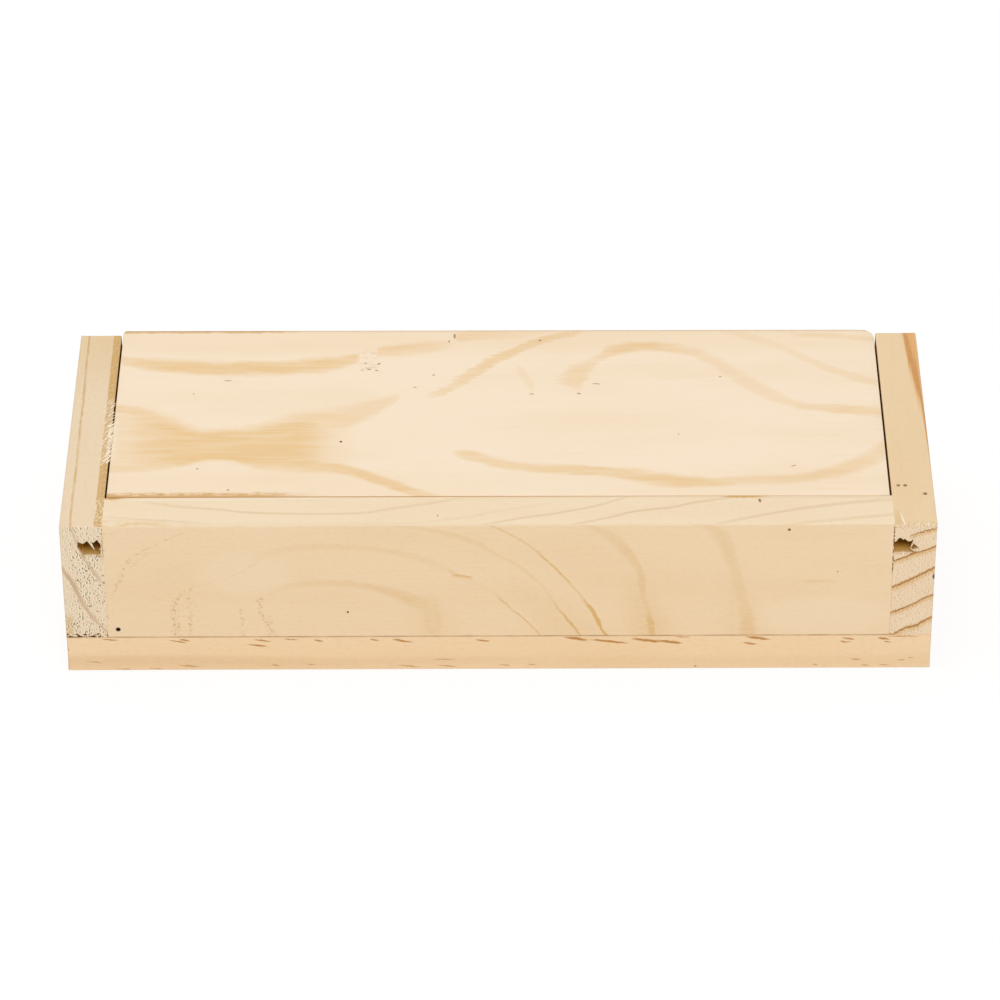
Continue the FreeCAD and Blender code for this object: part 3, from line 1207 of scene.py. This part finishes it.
# Face lines that run along: (along, drop, half width, strength).
FRONT_FLAT = (
    ((33.8, 13.4, 0.9, 0), (38.8, 9.6, 1.02, 0.12), (43.8, 7.5, 0.9, 0.14),
     (50, 6.4, 0.78, 0.16), (58, 6.4, 0.78, 0.19), (66, 7, 0.78, 0.19), (74, 8.7, 0.9, 0.18),
     (81.3, 11.6, 1.02, 0.14), (88, 15.6, 0.9, 0.08), (92, 18, 0.8, 0)),
    ((36, 27, 0.9, 0), (39, 22.5, 0.9, 0.05), (42, 20, 0.9, 0.1), (46.3, 18.4, 0.9, 0.15),
     (55, 17.6, 0.9, 0.2), (63, 18.3, 0.9, 0.28), (68, 19.5, 1.12, 0.34), (73, 21.6, 1.6, 0.36),
     (78, 24, 2, 0.32), (83, 26, 2.2, 0)),
    ((85.5, 15.2, 0.33, 0), (87.5, 15.4, 0.5, 0.7), (89.5, 15.8, 0.45, 0.7),
     (91.5, 16.2, 0.33, 0)),
    ((172.5, 17.6, 0.33, 0), (175, 17.6, 0.51, 0.3), (179, 17.6, 0.45, 0.25),
     (182, 17.6, 0.33, 0)),
)
# Wide warm zones round the steep lines: (drop, along, half width, strength).
FRONT_WARM = (
    ((12, 131, 2.5, 0), (20, 132, 3.5, 0.12), (28, 134, 4.5, 0.26), (34.5, 135, 5, 0.28)),
    ((14, 99, 3, 0), (22, 106, 6, 0.1), (30, 114, 8, 0.18), (34.5, 117, 8, 0.2)),
    ((8, 155, 2.5, 0), (20, 156, 3.5, 0.1), (34.5, 159, 5, 0.14)),
    ((22, 80, 3, 0), (28, 80.5, 5, 0.14), (34.5, 81, 5, 0.14)),
)
# Torn grain on the face, as broken thin lines: (drop, along, half width, strength).
FRONT_TORN = (
    ((10.5, 39, 0.24, 0), (12.5, 36.3, 0.3, 0.4), (15.5, 31.5, 0.3, 0.4), (18, 24.5, 0.36, 0.5),
     (19.5, 20, 0.36, 0.7), (22, 18, 0.42, 0.75), (26, 16.6, 0.48, 0.75), (30, 17, 0.6, 0.75),
     (34.5, 17.4, 0.48, 0.75)),
    ((17, 22.5, 0.36, 0), (19, 21.3, 0.36, 0.6), (24, 20.4, 0.36, 0.45), (29, 20.8, 0.36, 0.6),
     (34.5, 20.4, 0.36, 0.52)),
    ((24, 33.8, 0.24, 0), (26, 33.4, 0.3, 0.6), (30, 33.6, 0.3, 0.52), (34.5, 33.2, 0.36, 0.68)),
    ((21, 38.6, 0.24, 0), (23, 38.2, 0.36, 0.75), (28, 38.8, 0.42, 0.75), (31, 40.2, 0.48, 0.75),
     (34.5, 42.6, 0.48, 0.75)),
    ((26, 41, 0.24, 0), (29, 40.6, 0.3, 0.6), (34.5, 40.2, 0.36, 0.68)),
    ((1, 22.5, 0.36, 0), (2.6, 18.6, 0.36, 0.52), (5, 14.4, 0.36, 0.6), (7, 10.4, 0.42, 0.68),
     (11.5, 5.6, 0.42, 0.68), (15, 4.2, 0.36, 0.6), (20, 2.2, 0.36, 0.52), (23, 1, 0.36, 0)),
    ((7.5, 12.5, 0.24, 0), (8.5, 10.5, 0.3, 0.52), (11.5, 7.6, 0.36, 0.52), (13.5, 6.2, 0.3, 0)),
    ((0.4, 9.5, 0.24, 0), (0.8, 7, 0.36, 0.6), (1.6, 4, 0.36, 0.6), (2.4, 0.5, 0.36, 0.6),
     (3.2, -1, 0.3, 0)),
)
# Lines of the top strip: (along, distance from the lid, half width, strength).
STRIP_LINES = (
    ((8, 0.8, 0.4, 0), (15, 3, 0.45, 0.4), (20, 4, 0.49, 0.5), (30, 5.3, 0.42, 0.6),
     (35, 6.2, 0.42, 0.65), (45, 6.8, 0.42, 0.65), (55, 7, 0.42, 0.6), (63, 6.7, 0.42, 0.55),
     (70, 5.2, 0.49, 0.5), (75, 4, 0.49, 0.5), (80, 2.9, 0.49, 0.45), (85, 1.5, 0.5, 0.4),
     (88, 0.4, 0.5, 0.3)),
    ((31, 0.3, 0.42, 0.2), (42, 1.1, 0.42, 0.4), (50, 1.2, 0.42, 0.4), (60, 0.8, 0.35, 0.3),
     (66, 0.4, 0.35, 0)),
    ((78, 11, 0.5, 0.15), (83, 10, 0.5, 0.25), (90, 8.5, 0.5, 0.25), (95, 6.7, 0.5, 0.22),
     (106, 4, 0.5, 0.15), (114, 1.5, 0.5, 0)),
    ((92, 12.2, 0.42, 0.4), (100, 9.9, 0.39, 0.6), (105, 8.5, 0.39, 0.65), (110, 7.5, 0.4, 0.65),
     (115, 6.1, 0.4, 0.65), (120, 4.6, 0.42, 0.65), (124, 3, 0.45, 0.6), (127, 1.5, 0.49, 0.55),
     (131, -0.5, 0.49, 0.5)),
    ((114, 12.4, 0.42, 0.4), (118, 11, 0.42, 0.6), (122, 9.8, 0.42, 0.7), (127, 8, 0.39, 0.75),
     (130, 6.7, 0.39, 0.78), (135, 5.6, 0.39, 0.8), (140, 4.8, 0.39, 0.75),
     (145, 3.1, 0.45, 0.7), (150, 1.8, 0.49, 0.6), (156, 0.5, 0.56, 0.4)),
    ((150, 12, 0.56, 0.3), (154.5, 10.6, 0.56, 0.45), (164.5, 7.5, 0.49, 0.58),
     (177, 4.4, 0.56, 0.6), (193, 1.9, 0.7, 0.5)),
    ((168, 12.4, 0.56, 0.2), (172, 11.4, 0.56, 0.35), (177, 10.6, 0.56, 0.4),
     (185, 9.4, 0.6, 0.45), (194.5, 8, 0.63, 0.45)),
    ((0, 7.8, 0.42, 0.2), (2, 8.1, 0.42, 0.35), (12, 9.3, 0.42, 0.4), (22, 10.4, 0.42, 0.4),
     (29, 11.6, 0.42, 0)),
)

# %% Front wall rings
wood = Finish("front_pine_finish")
along = wood.x + inner_x
drop = front_high.z - wood.z
inward = wood.y - front_low.y
from_lid = front_high.y - wood.y
on_front = wood.facing[Y].fall(-0.8, -0.5)
on_top = wood.facing[Z].rise(0.5, 0.8)
shake = wood.cloud(along * 0.3, drop * 0.3, 1.0, 3.0)
feather = wood.cloud(along * 0.5, drop * 1.1, 5.0, 4.0, 0.65)
shaken_along = along - 0.7 + shake * 1.4
shaken_drop = drop - 1.05 + shake * 0.7 + feather * 1.4
steep = most(grain_line(drop, shaken_along, line, 0.7, 0.45) for line in FRONT_STEEP)
warm = most(grain_line(drop, along, line, 0.9, 0.9) for line in FRONT_WARM)
flat = most(grain_line(along, shaken_drop, line, 0.6, 0.8) for line in FRONT_FLAT)
face = (steep | warm | flat) * feather.fade(0.3, 0.62, 0.7, 1.15)
strip = most(grain_line(along, from_lid, line, 0.8, 0.5) for line in STRIP_LINES)
hidden = trunk_rings(along, drop, inward, 16.0, -30.0, 5.2, 3.0) * (1.0 - on_front - on_top)
rings = face * on_front + strip * on_top * 0.75 + hidden * 0.6
pale = wood.mix(on_top, FRONT_PALE, STRIP_PALE)
gold = wood.mix(on_top, FRONT_GOLD, STRIP_GREY)
streak = bare_pine(along, drop, inward, 6.0, rings, pale, gold, 0.16)
print("front wall lines", len(FRONT_STEEP) + len(FRONT_FLAT) + len(STRIP_LINES))

# %% Torn grain of the front face
torn_shake = wood.cloud(along * 0.8, drop * 0.55, 8.0, 4.0, 0.65)
torn_along = along - 2.0 + torn_shake * 4.0
gaps = wood.cloud(along * 1.6, drop * 1.1, 3.0, 3.0, 0.7)
torn = most(grain_line(drop, torn_along, line, 0.9, 0.9) for line in FRONT_TORN)
torn = torn * gaps.rise(0.46, 0.58) * on_front * 0.8
wood.stain(torn * 0.8, STAIN_BROWN)
pitted = along.window(10.0, 16.0, 20.0, 26.0) * drop.rise(17.0, 24.0) * gaps.rise(0.60, 0.68)
wood.stain(pitted * on_front * 0.6, STAIN_BROWN)
flaked = along.window(14.0, 20.0, 38.0, 44.0) * gaps.fall(0.32, 0.40)
wood.cover(flaked * on_front * 0.5, STRIP_PALE)
print("torn lines", len(FRONT_TORN))

# %% Painted shade and a painted highlight along the top strip, and its golden corner
# Painted shade along the strip's edge at the lid, at both ends.
under_lid = wood.cloud(along * 0.35, 0.0, 2.0, 3.0)
shaded_ends = along.fall(3.0, 6.0) | along.window(152.0, 155.0, 160.0, 166.0)
joint_edge_shade = (from_lid - under_lid * 2.2).fall(-0.6, -0.2) * on_top * shaded_ends
wood.cover(joint_edge_shade, EDGE_TAN_AND_SHADE)
# Painted highlight: a cream line on the strip's edge at the lid, on its left part.
painted_highlight = (from_lid - under_lid * 1.4).fall(0.5, 1.0) * along.window(3.0, 8.0, 45.0, 75.0)
wood.cover(painted_highlight * on_top * (1.0 - joint_edge_shade) * 0.4, END_CREAM)
corner_noise = wood.cloud(along * 0.25, from_lid * 0.7, 4.0, 3.0).rise(0.4, 0.6)
corner = from_lid.rise(8.5, 10.5) * along.fall(8.0, 26.0) * corner_noise
wood.stain(corner * on_top * 0.6, STAIN_GOLD)

# %% Pale patches, foot and side joints of the front face
left_patch = dash(along, drop, (34.0, 15.0), 30.0, 16.0)
right_patch = dash(along, drop, (178.0, 29.0), 40.0, 16.0)
wood.cover((left_patch | right_patch) * on_front * 0.3, STRIP_PALE)
front_length = 2 * inner_x
front_foot = front_high.z - front_low.z
# Painted shade: a broken dark line along the foot of the front face, where it meets the base.
foot_noise = wood.cloud(along * 0.12, 0.0, 9.0, 3.0, 0.6).fade(0.38, 0.6, 0.4, 0.9)
foot = drop.rise(front_foot - 0.38, front_foot - 0.18) * inward.fall(0.5, 0.8) * foot_noise
wood.cover(foot, SLOT_SHADE_BROWN)
joint_noise = wood.cloud(along * 0.6, drop * 0.9, 4.0, 3.0).rise(0.54, 0.62)
wood.stain(along.fall(0.1, 0.7) * joint_noise * on_front * 0.35, STAIN_BROWN)
broken = wood.cloud(0.0, drop * 0.9, 2.0, 3.0, 0.6)
upper_joint = broken.rise(0.44, 0.5) | drop.rise(14.0, 16.0)
lower_joint = broken.rise(0.6, 0.64) | drop.fall(14.0, 16.0)
right_joint = along.rise(front_length - 0.26, front_length - 0.14) * upper_joint * lower_joint
right_joint = right_joint * on_front
wood.cover(right_joint * 0.85, JOINT_DARK)

# %% Spots and pinholes of the front wall
spot = dash(along, from_lid, (162.2, 2.0), 0.9, 1.9, 0.5)
dot = dash(along, from_lid, (82.6, 7.8), 0.35, 0.9)
wood.stain((spot | dot) * on_top, STAIN_PORE)
pinholes = (((2.6, 31.9), 1.6), ((169.1, 1.6), 0.9), ((60.0, 26.7), 0.7), ((181.4, 14.6), 0.4))
holes = most(dash(along, drop, place, width, width) for place, width in pinholes)
holes = holes * inward.fall(2.4, 3.0)
# Painted shade in and round the pinholes.
wood.cover(holes, HOLE_SHADE)
front_pine = wood.finish(streak + rings * 0.4 - torn, 0.04, 0.72, holes | right_joint)
print("front wall pinholes", len(pinholes))

# %% [markdown]
# ## The end walls' grain
#
# The end walls show their ends to the front, and end grain looks nothing like a face. The
# left one is soft, fuzzy wood: two broad rings cross it steeply and the cut fibres show as
# brown streaks between cream ones. The right one is denser: five narrow dark rings cross
# it, each with a sharp upper side and an orange glow below. The rings run through the whole
# board, so they also come out on the tops: as one thin line and an ochre edge on the left,
# and as an orange wedge at the right wall's outer corner.

# %% End wall rings
# Rings of the left wall: (drop, distance from its outer face, half width, strength).
LEFT_RINGS = (
    ((10.5, -1.6, 0.5, 0.9), (12.7, 0, 0.5, 0.9), (17.3, 2.4, 0.6, 1.1), (21, 3.8, 0.55, 1),
     (24, 5, 0.62, 0.85), (28.3, 7.2, 0.6, 0.8), (32, 10, 0.45, 0.7), (34.5, 11.6, 0.45, 0.6)),
    ((0, 2.75, 0.28, 0.7), (5, 4.2, 0.36, 0.6), (9.7, 5.7, 0.36, 0.8), (13, 7.4, 0.4, 0.8),
     (17, 9.5, 0.48, 0.5), (19, 10.6, 0.48, 0)),
)
# Rings of the right wall: (distance from its inner face, drop, half width, strength).
RIGHT_RINGS = (
    ((3.6, 3.9, 0.28, 0), (4.6, 3.3, 0.44, 0.8), (7.5, 2.2, 0.5, 1), (10.5, 1.2, 0.5, 1)),
    ((0, 11.3, 0.55, 0.9), (3, 10.1, 0.55, 1), (5.2, 9.1, 0.55, 1), (7.5, 8.2, 0.55, 1),
     (10.5, 6.8, 0.55, 1)),
    ((0, 19.4, 0.66, 1), (3.3, 17.8, 0.77, 1), (6.7, 15.7, 0.72, 1), (10.5, 13.4, 0.66, 1)),
    ((0, 27.4, 0.55, 1), (3, 26.1, 0.55, 1), (6, 24.4, 0.55, 1), (8, 23, 0.55, 1),
     (10.5, 21.8, 0.61, 1)),
    ((1, 34.2, 0.66, 0.8), (4, 32.2, 0.72, 1), (6.5, 31.4, 0.77, 1), (9, 29.6, 0.72, 1),
     (10.5, 28.8, 0.66, 1)),
)
# A scratch on the right wall's top: (distance back, from its inner face, half width, strength).
SCRATCH = ((0, 2.5, 0.14, 1), (1.6, 2.1, 0.2, 1), (3.6, 1.8, 0.16, 0.8), (5, 1.6, 0.1, 0))
SCRATCH_SHADE = ((0, 1.1, 1.0, 0.6), (3, 0.9, 0.9, 0.5), (7, 0.6, 0.6, 0))


# %% End grain and grooves
def end_grain(wood, fuzz):
    """Masks of the faces to the front and the back, their dark cut fibres, and pale fibres with
    painted highlights.
    """
    end_face = wood.facing[Y].fall(-0.8, -0.5) | wood.facing[Y].rise(0.5, 0.8)
    across, up = wood.x * 2.7, wood.z * 1.25
    streaky = wood.cloud(across, 0.0, up, 1.5)
    # Painted highlight: the same noise a little to the side gives a pale mark on the lit side of
    # each dark one.
    lit_side = wood.cloud(across + 0.75, 0.0, up + 0.1, 1.5)
    patchy = wood.cloud(wood.x * 0.35, 4.0, wood.z * 0.3)
    limit = patchy.fade(0.3, 0.7, 0.66, 0.53, smooth=False)
    grainy = wood.cloud(wood.x * 2.6, 9.0, wood.z * 2.2, 2.0, 0.6)
    dark = (streaky - limit).rise(-0.01, 0.05)
    pale = grainy.rise(0.52, 0.62) | (lit_side - limit).rise(-0.04, 0.03)
    return end_face, dark * end_face * fuzz, pale * end_face * fuzz


def groove_and_lip(wood, torn_side, side_shade, faces_inside, lip_share):
    """Paint light and shade into the first millimetres of the groove, and shade onto the lip
    above it, and return their mask.
    """
    wide = abs(wood.x).window(inner_x - 0.1, inner_x + 0.02, groove_x + 1.1, groove_x + 1.3)
    low, high = groove_floor - 0.1, groove_top + 0.3
    tall = wood.z.window(low, low + 0.08, high - 0.25, high)
    deep = wood.y.window(front_y + 0.2, front_y + 1.6, front_y + 9.0, front_y + 15.0)
    groove = wide * tall * deep
    # Painted light and shade: bright gold just inside the mouth, dark brown further in, and the
    # side's shade colour on its torn side.
    groove_light_and_shade = wood.mix(wood.y.rise(front_y + 1.5, front_y + 5.0), GROOVE_LIT_GOLD, GROOVE_SHADE_BROWN)
    wood.cover(groove, wood.mix(torn_side, groove_light_and_shade, side_shade))
    # Painted shade on the faces above the groove, which stand in the slot beside the lid.
    above = wood.z.window(groove_top - 0.1, groove_top + 0.1, wall_top - 0.9, wall_top - 0.4)
    lip = faces_inside * above
    wood.cover(lip * lip_share, SLOT_SHADE_BROWN)
    return groove | lip


# %% Left wall rings
wood = Finish("left_wall_pine_finish")
from_outside = wood.x + outer_x
drop = wall_top - wood.z
back = wood.y - front_y
sway = wood.cloud(back * 0.05, drop * 0.05, 1.0, 3.0)
jitter = wood.cloud(back * 0.5, from_outside * 0.5, 6.0, 3.0, 0.6)
across = from_outside - 0.85 + sway + back * 0.006 + jitter * 0.7
left_rings = most(grain_line(drop, across, ring, 0.25, 1.0) for ring in LEFT_RINGS)
end_face, dark_marks, pale_marks = end_grain(wood, 1.0)
on_top = wood.facing[Z].rise(0.5, 0.8)
clearer = wood.cloud(back * 0.16, 1.0, 4.0, 3.0, 0.6).fade(0.35, 0.62, 0.55, 1.2)
rings = left_rings * (clearer | end_face)
pale = wood.mix(end_face, LEFT_TOP_PALE, LEFT_END_PALE)
gold = wood.mix(end_face, LEFT_TOP_GOLD, LEFT_END_BROWN)
streak = bare_pine(wood.y, from_outside, drop, 12.0, rings, pale, gold, 0.2)

# %% Left wall top
wood.stain(back.rise(50.0, 80.0) * on_top * 0.35, STAIN_GOLD)
edge_noise = wood.cloud(back * 0.3, 1.0, 1.0, 3.0)
wear = wood.cloud(back * 0.9, from_outside * 2.0, 3.0, 4.0, 0.65)
ochre = (from_outside + edge_noise * 0.5).rise(8.7, 8.95) * on_top
ochre = ochre * wear.fade(0.36, 0.6, 0.6, 1.0) * (back.rise(9.0, 13.0) | wear.rise(0.42, 0.52))
# Painted shade: under the torn fibres the band at the inner edge takes a shade tan instead of
# ochre.
shade_under_fibres = 1.0 - (back.fall(26.5, 27.5) | back.rise(53.5, 55.0))
wood.cover(ochre, wood.mix(shade_under_fibres, OCHRE, SHADE_UNDER_FIBRES))
print("left wall nodes", len(wood.nodes))

# %% Left wall end and groove
between_rings = left_rings.fade(0.35, 0.75, 1.0, 0.08)
calm_edge = from_outside.fade(0.8, 4.0, 0.35, 1.0) | drop.rise(22.0, 28.0)
dark_marks = dark_marks * between_rings * calm_edge
pale_marks = pale_marks * between_rings
corner = from_outside.fall(1.6, 2.6) * drop.rise(26.5, 29.0) * end_face
wood.cover(corner * 0.6, OCHRE)
# Cream fibres and painted highlights beside the dark fibres.
wood.cover(pale_marks * 0.9, END_CREAM)
wood.stain(dark_marks * 0.9, STAIN_END)
# Painted shade: dark chips along the foot of the left end, as the shadows of a broken edge.
chip_noise = wood.cloud(from_outside * 0.8, 3.0, drop * 1.3, 3.0)
chip_shade = (drop + chip_noise * 8.0).rise(37.9, 38.3) * end_face
wood.cover(chip_shade, CHIP_SHADE_BROWN)
# Painted shade on the left mouth's torn side, darkest towards its top.
upper_part = wood.z.rise(groove_floor + 0.8, groove_top - 0.8)
side_shade = wood.mix(upper_part, GROOVE_SHADE_BROWN, SLOT_SHADE_BROWN)
torn_side = from_outside.fall(5.2, 5.4)
groove = groove_and_lip(wood, torn_side, side_shade, wood.facing[X].rise(0.5, 0.8), 1.0)
relief = streak + pale_marks - dark_marks
left_wall_pine = wood.finish(relief, 0.03, 0.75, groove | dark_marks | chip_shade)
print("left wall rings", len(LEFT_RINGS))

# %% Right wall rings
wood = Finish("right_wall_pine_finish")
from_inside = wood.x - inner_x
drop = wall_top - wood.z
back = wood.y - front_y
shake = wood.cloud(from_inside * 1.1, 0.0, drop * 0.4, 3.0)
across = drop - 0.45 + shake * 0.9 + back * 0.026
glow_across = across - 0.35
lines, glow = [], []
for ring in RIGHT_RINGS:
    lines.append(grain_line(from_inside, across, resized(ring, 0.4), 0.4, 0.6))
    glow.append(grain_line(from_inside, glow_across, resized(ring, 1.3), 0.3, 1.0))
lines = most(lines)
end_face, dark_marks, pale_marks = end_grain(wood, 0.65)
on_top = wood.facing[Z].rise(0.5, 0.8)
pale = wood.mix(end_face, RIGHT_TOP_PALE, RIGHT_END_PALE)
glow_colour = wood.mix(end_face, RIGHT_TOP_GLOW, RIGHT_END_GLOW)
line_colour = wood.mix(end_face, RIGHT_TOP_LINE, RIGHT_END_LINE)
streak = bare_pine(wood.y, from_inside, drop, 15.0, most(glow), pale, glow_colour)
# Cream fibres and painted highlights beside the dark fibres.
wood.cover(pale_marks * 0.6, END_CREAM)
wood.stain(dark_marks * 0.6, STAIN_BROWN)
speckle = wood.cloud(from_inside * 2.6, back * 2.6, drop * 2.6, 3.0, 0.6)
wood.cover(lines * speckle.fade(0.38, 0.55, 0.45, 1.0) * 0.95, line_colour)
print("right wall rings", len(RIGHT_RINGS))

# %% Right wall corner, scratch and holes
front_corner = drop.fall(0.7, 1.8) * back.fall(0.6, 1.8)
wood.cover(front_corner * speckle.rise(0.45, 0.6) * 0.55, OCHRE)
wood.cover(front_corner * speckle.fall(0.40, 0.48) * 0.6, END_CREAM)
scratch = grain_line(back, from_inside, SCRATCH)
scratch_shade = grain_line(back, from_inside, SCRATCH_SHADE, 0.8, 0.4)
wood.cover(scratch_shade * on_top * 0.6, OCHRE)
wood.cover(scratch * on_top, END_CREAM)
pinholes = (((1.8, 16.1), 1.1), ((3.5, 16.1), 1.2), ((8.2, 12.6), 1.3))
holes = most(dash(from_inside, back, place, width, width) for place, width in pinholes)
# Painted shade in and round the pinholes in the top.
wood.cover(holes * on_top, HOLE_SHADE)

# %% Right wall groove, nick and joint
faces_inside = wood.facing[X].fall(-0.8, -0.5)
# Painted shade on the right mouth's torn side and on the lip faces in the slot.
groove = groove_and_lip(wood, from_inside.rise(5.1, 5.3), SLOT_SHADE_BROWN, faces_inside, 0.6)
nick = dash(from_inside, drop, (10.5, 16.2), 1.4, 2.4) * back.fall(0.8, 1.2)
# Painted shade in and round the nick.
wood.cover(nick * 0.8, HOLE_SHADE)
broken = wood.cloud(0.0, drop * 0.9, 2.0, 3.0, 0.6).rise(0.46, 0.52)
joint = from_inside.fall(0.04, 0.16) * drop.fall(13.0, 16.0) * broken * end_face
wood.cover(joint * 0.85, JOINT_DARK)
relief = streak + lines * 0.8 - dark_marks
right_wall_pine = wood.finish(relief, 0.04, 0.75, groove | joint | nick | holes)
print("right wall pinholes", len(pinholes))

# %% [markdown]
# ## The base, the back wall and the brads
#
# The base's front edge is a quarter sawn edge, so what shows is not a ring but the short
# resin dashes that lie along the grain, most of them just under the joint. Nobody has seen
# the back, the inside and the underside, so their rings come from a whole trunk. The brads
# are plain wire with a dull zinc coat.

# %% Base lines
# Dashes on the base's front edge: (distance from the left end, drop, length, width, slope).
BASE_DASHES = (
    (11, 0.6, 4.5, 0.4, 0.1), (27.8, 1.2, 4.6, 0.45, 0.16), (29.5, 0.8, 3, 0.4, 0.14),
    (49, 1, 4.4, 0.5, 0.18), (47.6, 2.5, 5.6, 0.5, 0.13), (56.2, 0.7, 4, 0.3, 0.1),
    (63, 1.1, 2.6, 0.5, 0.2), (76.9, 0.9, 2.6, 0.45, 0.2), (84, 1.2, 5.6, 0.6, 0.2),
    (104, 1.2, 4, 0.45, 0.17), (127.3, 0.7, 6.4, 0.8, 0.15), (135.6, 1.6, 10.4, 0.7, 0.13),
    (145, 1.3, 8.4, 0.8, 0.15), (150.7, 1.8, 7, 0.8, 0.17), (154, 0.3, 4, 0.3, 0.05),
    (172.7, 0.7, 6.8, 0.7, 0.15), (170.8, 2.4, 3.8, 0.55, 0.18), (195.4, 1, 3.4, 0.5, 0.17),
    (194.6, 1.9, 3.2, 0.4, 0.12), (204.2, 1, 3.4, 0.6, 0.15), (209, 0.3, 9, 0.3, 0),
    (205.2, 2, 2, 0.3, 0.2), (6.8, 7.7, 3.8, 0.35, 0.13), (30.5, 9, 6.2, 0.45, 0.12),
    (22, 9.7, 4, 0.3, 0.05), (14, 9.9, 4, 0.3, 0.05), (52, 8.8, 2.2, 0.35, 0.1),
    (61, 8.5, 2.5, 0.3, 0.1), (85.3, 9.2, 6.4, 0.4, 0.1), (95, 9.2, 5.4, 0.35, 0.05),
    (94.5, 7.2, 6, 0.25, 0.02), (109.5, 9, 3, 0.35, 0.1), (116.3, 8.9, 2.6, 0.35, 0.1),
    (187.2, 9.2, 1.6, 0.4, 0.2), (197.3, 7.5, 3, 0.3, 0.1), (199.8, 9.4, 2.4, 0.35, 0.1),
    (204.5, 9.3, 3.2, 0.35, 0.1), (208.7, 7.8, 2.4, 0.35, -0.1), (211.2, 7, 2, 0.3, -0.1),
)
# A soft band along that edge: (along, drop, half width, strength).
BASE_BAND = (
    (0, 7.2, 1.6, 0.9), (30, 7.4, 1.7, 0.9), (70, 7.8, 1.3, 0.6), (108, 7.4, 1.2, 0.5),
    (150, 7.8, 1.4, 0.4), (216, 7.4, 1.4, 0.4),
)

# %% Base finish
wood = Finish("base_pine_finish")
along = wood.x + outer_x
drop = base_high.z - wood.z
inward = wood.y - base_low.y
on_front = wood.facing[Y].fall(-0.7, -0.4)
shake = wood.cloud(along * 0.6, drop * 1.2, 1.0, 4.0, 0.65)
dash_drop = drop - 0.55 + shake * 0.9
dashes = most(
    dash(along, dash_drop, (middle, down), length * 1.1, thick * 1.3, slope)
    for middle, down, length, thick, slope in BASE_DASHES
)
dashes = dashes * on_front * drop.fade(4.0, 7.0, 1.0, 0.65)
soft_band = grain_line(along, dash_drop, BASE_BAND, 0.6, 0.9)
hidden = trunk_rings(along, inward, drop, -12.0, 30.0, 4.6, 8.0)
rings = soft_band * on_front * 0.6 + hidden * (1.0 - on_front) * 0.5
streak = bare_pine(along, inward, drop, 20.0, rings, BASE_PALE, BASE_GOLD, 0.22)
side_face = wood.facing[X].fall(-0.8, -0.5) | wood.facing[X].rise(0.5, 0.8)
cut_fibres = wood.cloud(0.0, wood.y * 2.2, wood.z * 2.6, 3.0, 0.65).rise(0.56, 0.62)
wood.stain(cut_fibres * side_face * 0.5, STAIN_BROWN)
wood.stain(dashes * 0.95, DASH_STAIN)
base_pine = wood.finish(streak - dashes * 0.8, 0.05, 0.72)
print("base dashes", len(BASE_DASHES))

# %% Back wall finish
wood = Finish("back_pine_finish")
along = wood.x + inner_x
drop = back_high.z - wood.z
inward = back_high.y - wood.y
rings = trunk_rings(along, drop, inward, -34.0, 26.0, 4.4, 4.0) * 0.6
streak = bare_pine(along, drop, inward, 24.0, rings, FRONT_PALE, FRONT_GOLD)
back_pine = wood.finish(streak, 0.05, 0.72)

# %% Torn fibre finish
wood = Finish("torn_fibre_finish")
creamy = wood.cloud(wood.x * 1.5, wood.y * 1.5, wood.z)
wood.colour = wood.mix(creamy.fade(0.4, 0.7, 0.0, 0.5), END_CREAM, LEFT_TOP_PALE)
fibre_cream = wood.finish(creamy, 0.02, 0.8)

# %% Brad steel
steel = Finish("brad_steel_finish")
dullness = steel.cloud(steel.x * 2.0, steel.y * 2.0, steel.z * 2.0, 3.0)
steel.colour = steel.mix(dullness, paint(150, 148, 142), paint(196, 194, 188))
steel.shader.inputs["Metallic"].default_value = 0.9
brad_steel = steel.finish(dullness, 0.03, dullness.fade(0.3, 0.7, 0.35, 0.6))
print("finishes ready")

# %% [markdown]
# ## Boards on their bodies
#
# Every board stands for one node of the construction and rides on its body: the lid moves
# and all the rest belongs to the box. The brads are kept as they were constructed and only
# get their steel.


# %% Boards and brads
def dress(piece, material):
    piece.data.materials.clear()
    piece.data.materials.append(material)


for piece, material, node, slot in (
    (left_wall, left_wall_pine, "left_wall", "left_wall_pine"),
    (right_wall, right_wall_pine, "right_wall", "right_wall_pine"),
    (base, base_pine, "base_board", "base_pine"),
    (front_wall, front_pine, "front_wall", "front_pine"),
    (back_wall, back_pine, "back_wall", "front_pine"),
    (lid, lid_pine, "lid", "lid_pine"),
):
    dress(piece, material)
    smooth(piece)
    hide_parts(node)
    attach(piece, "lid" if node == "lid" else "box")
dress(fibres_piece, fibre_cream)
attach(fibres_piece, "box")
for node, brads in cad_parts.items():
    if node.endswith("brads"):
        dress(brads, brad_steel)
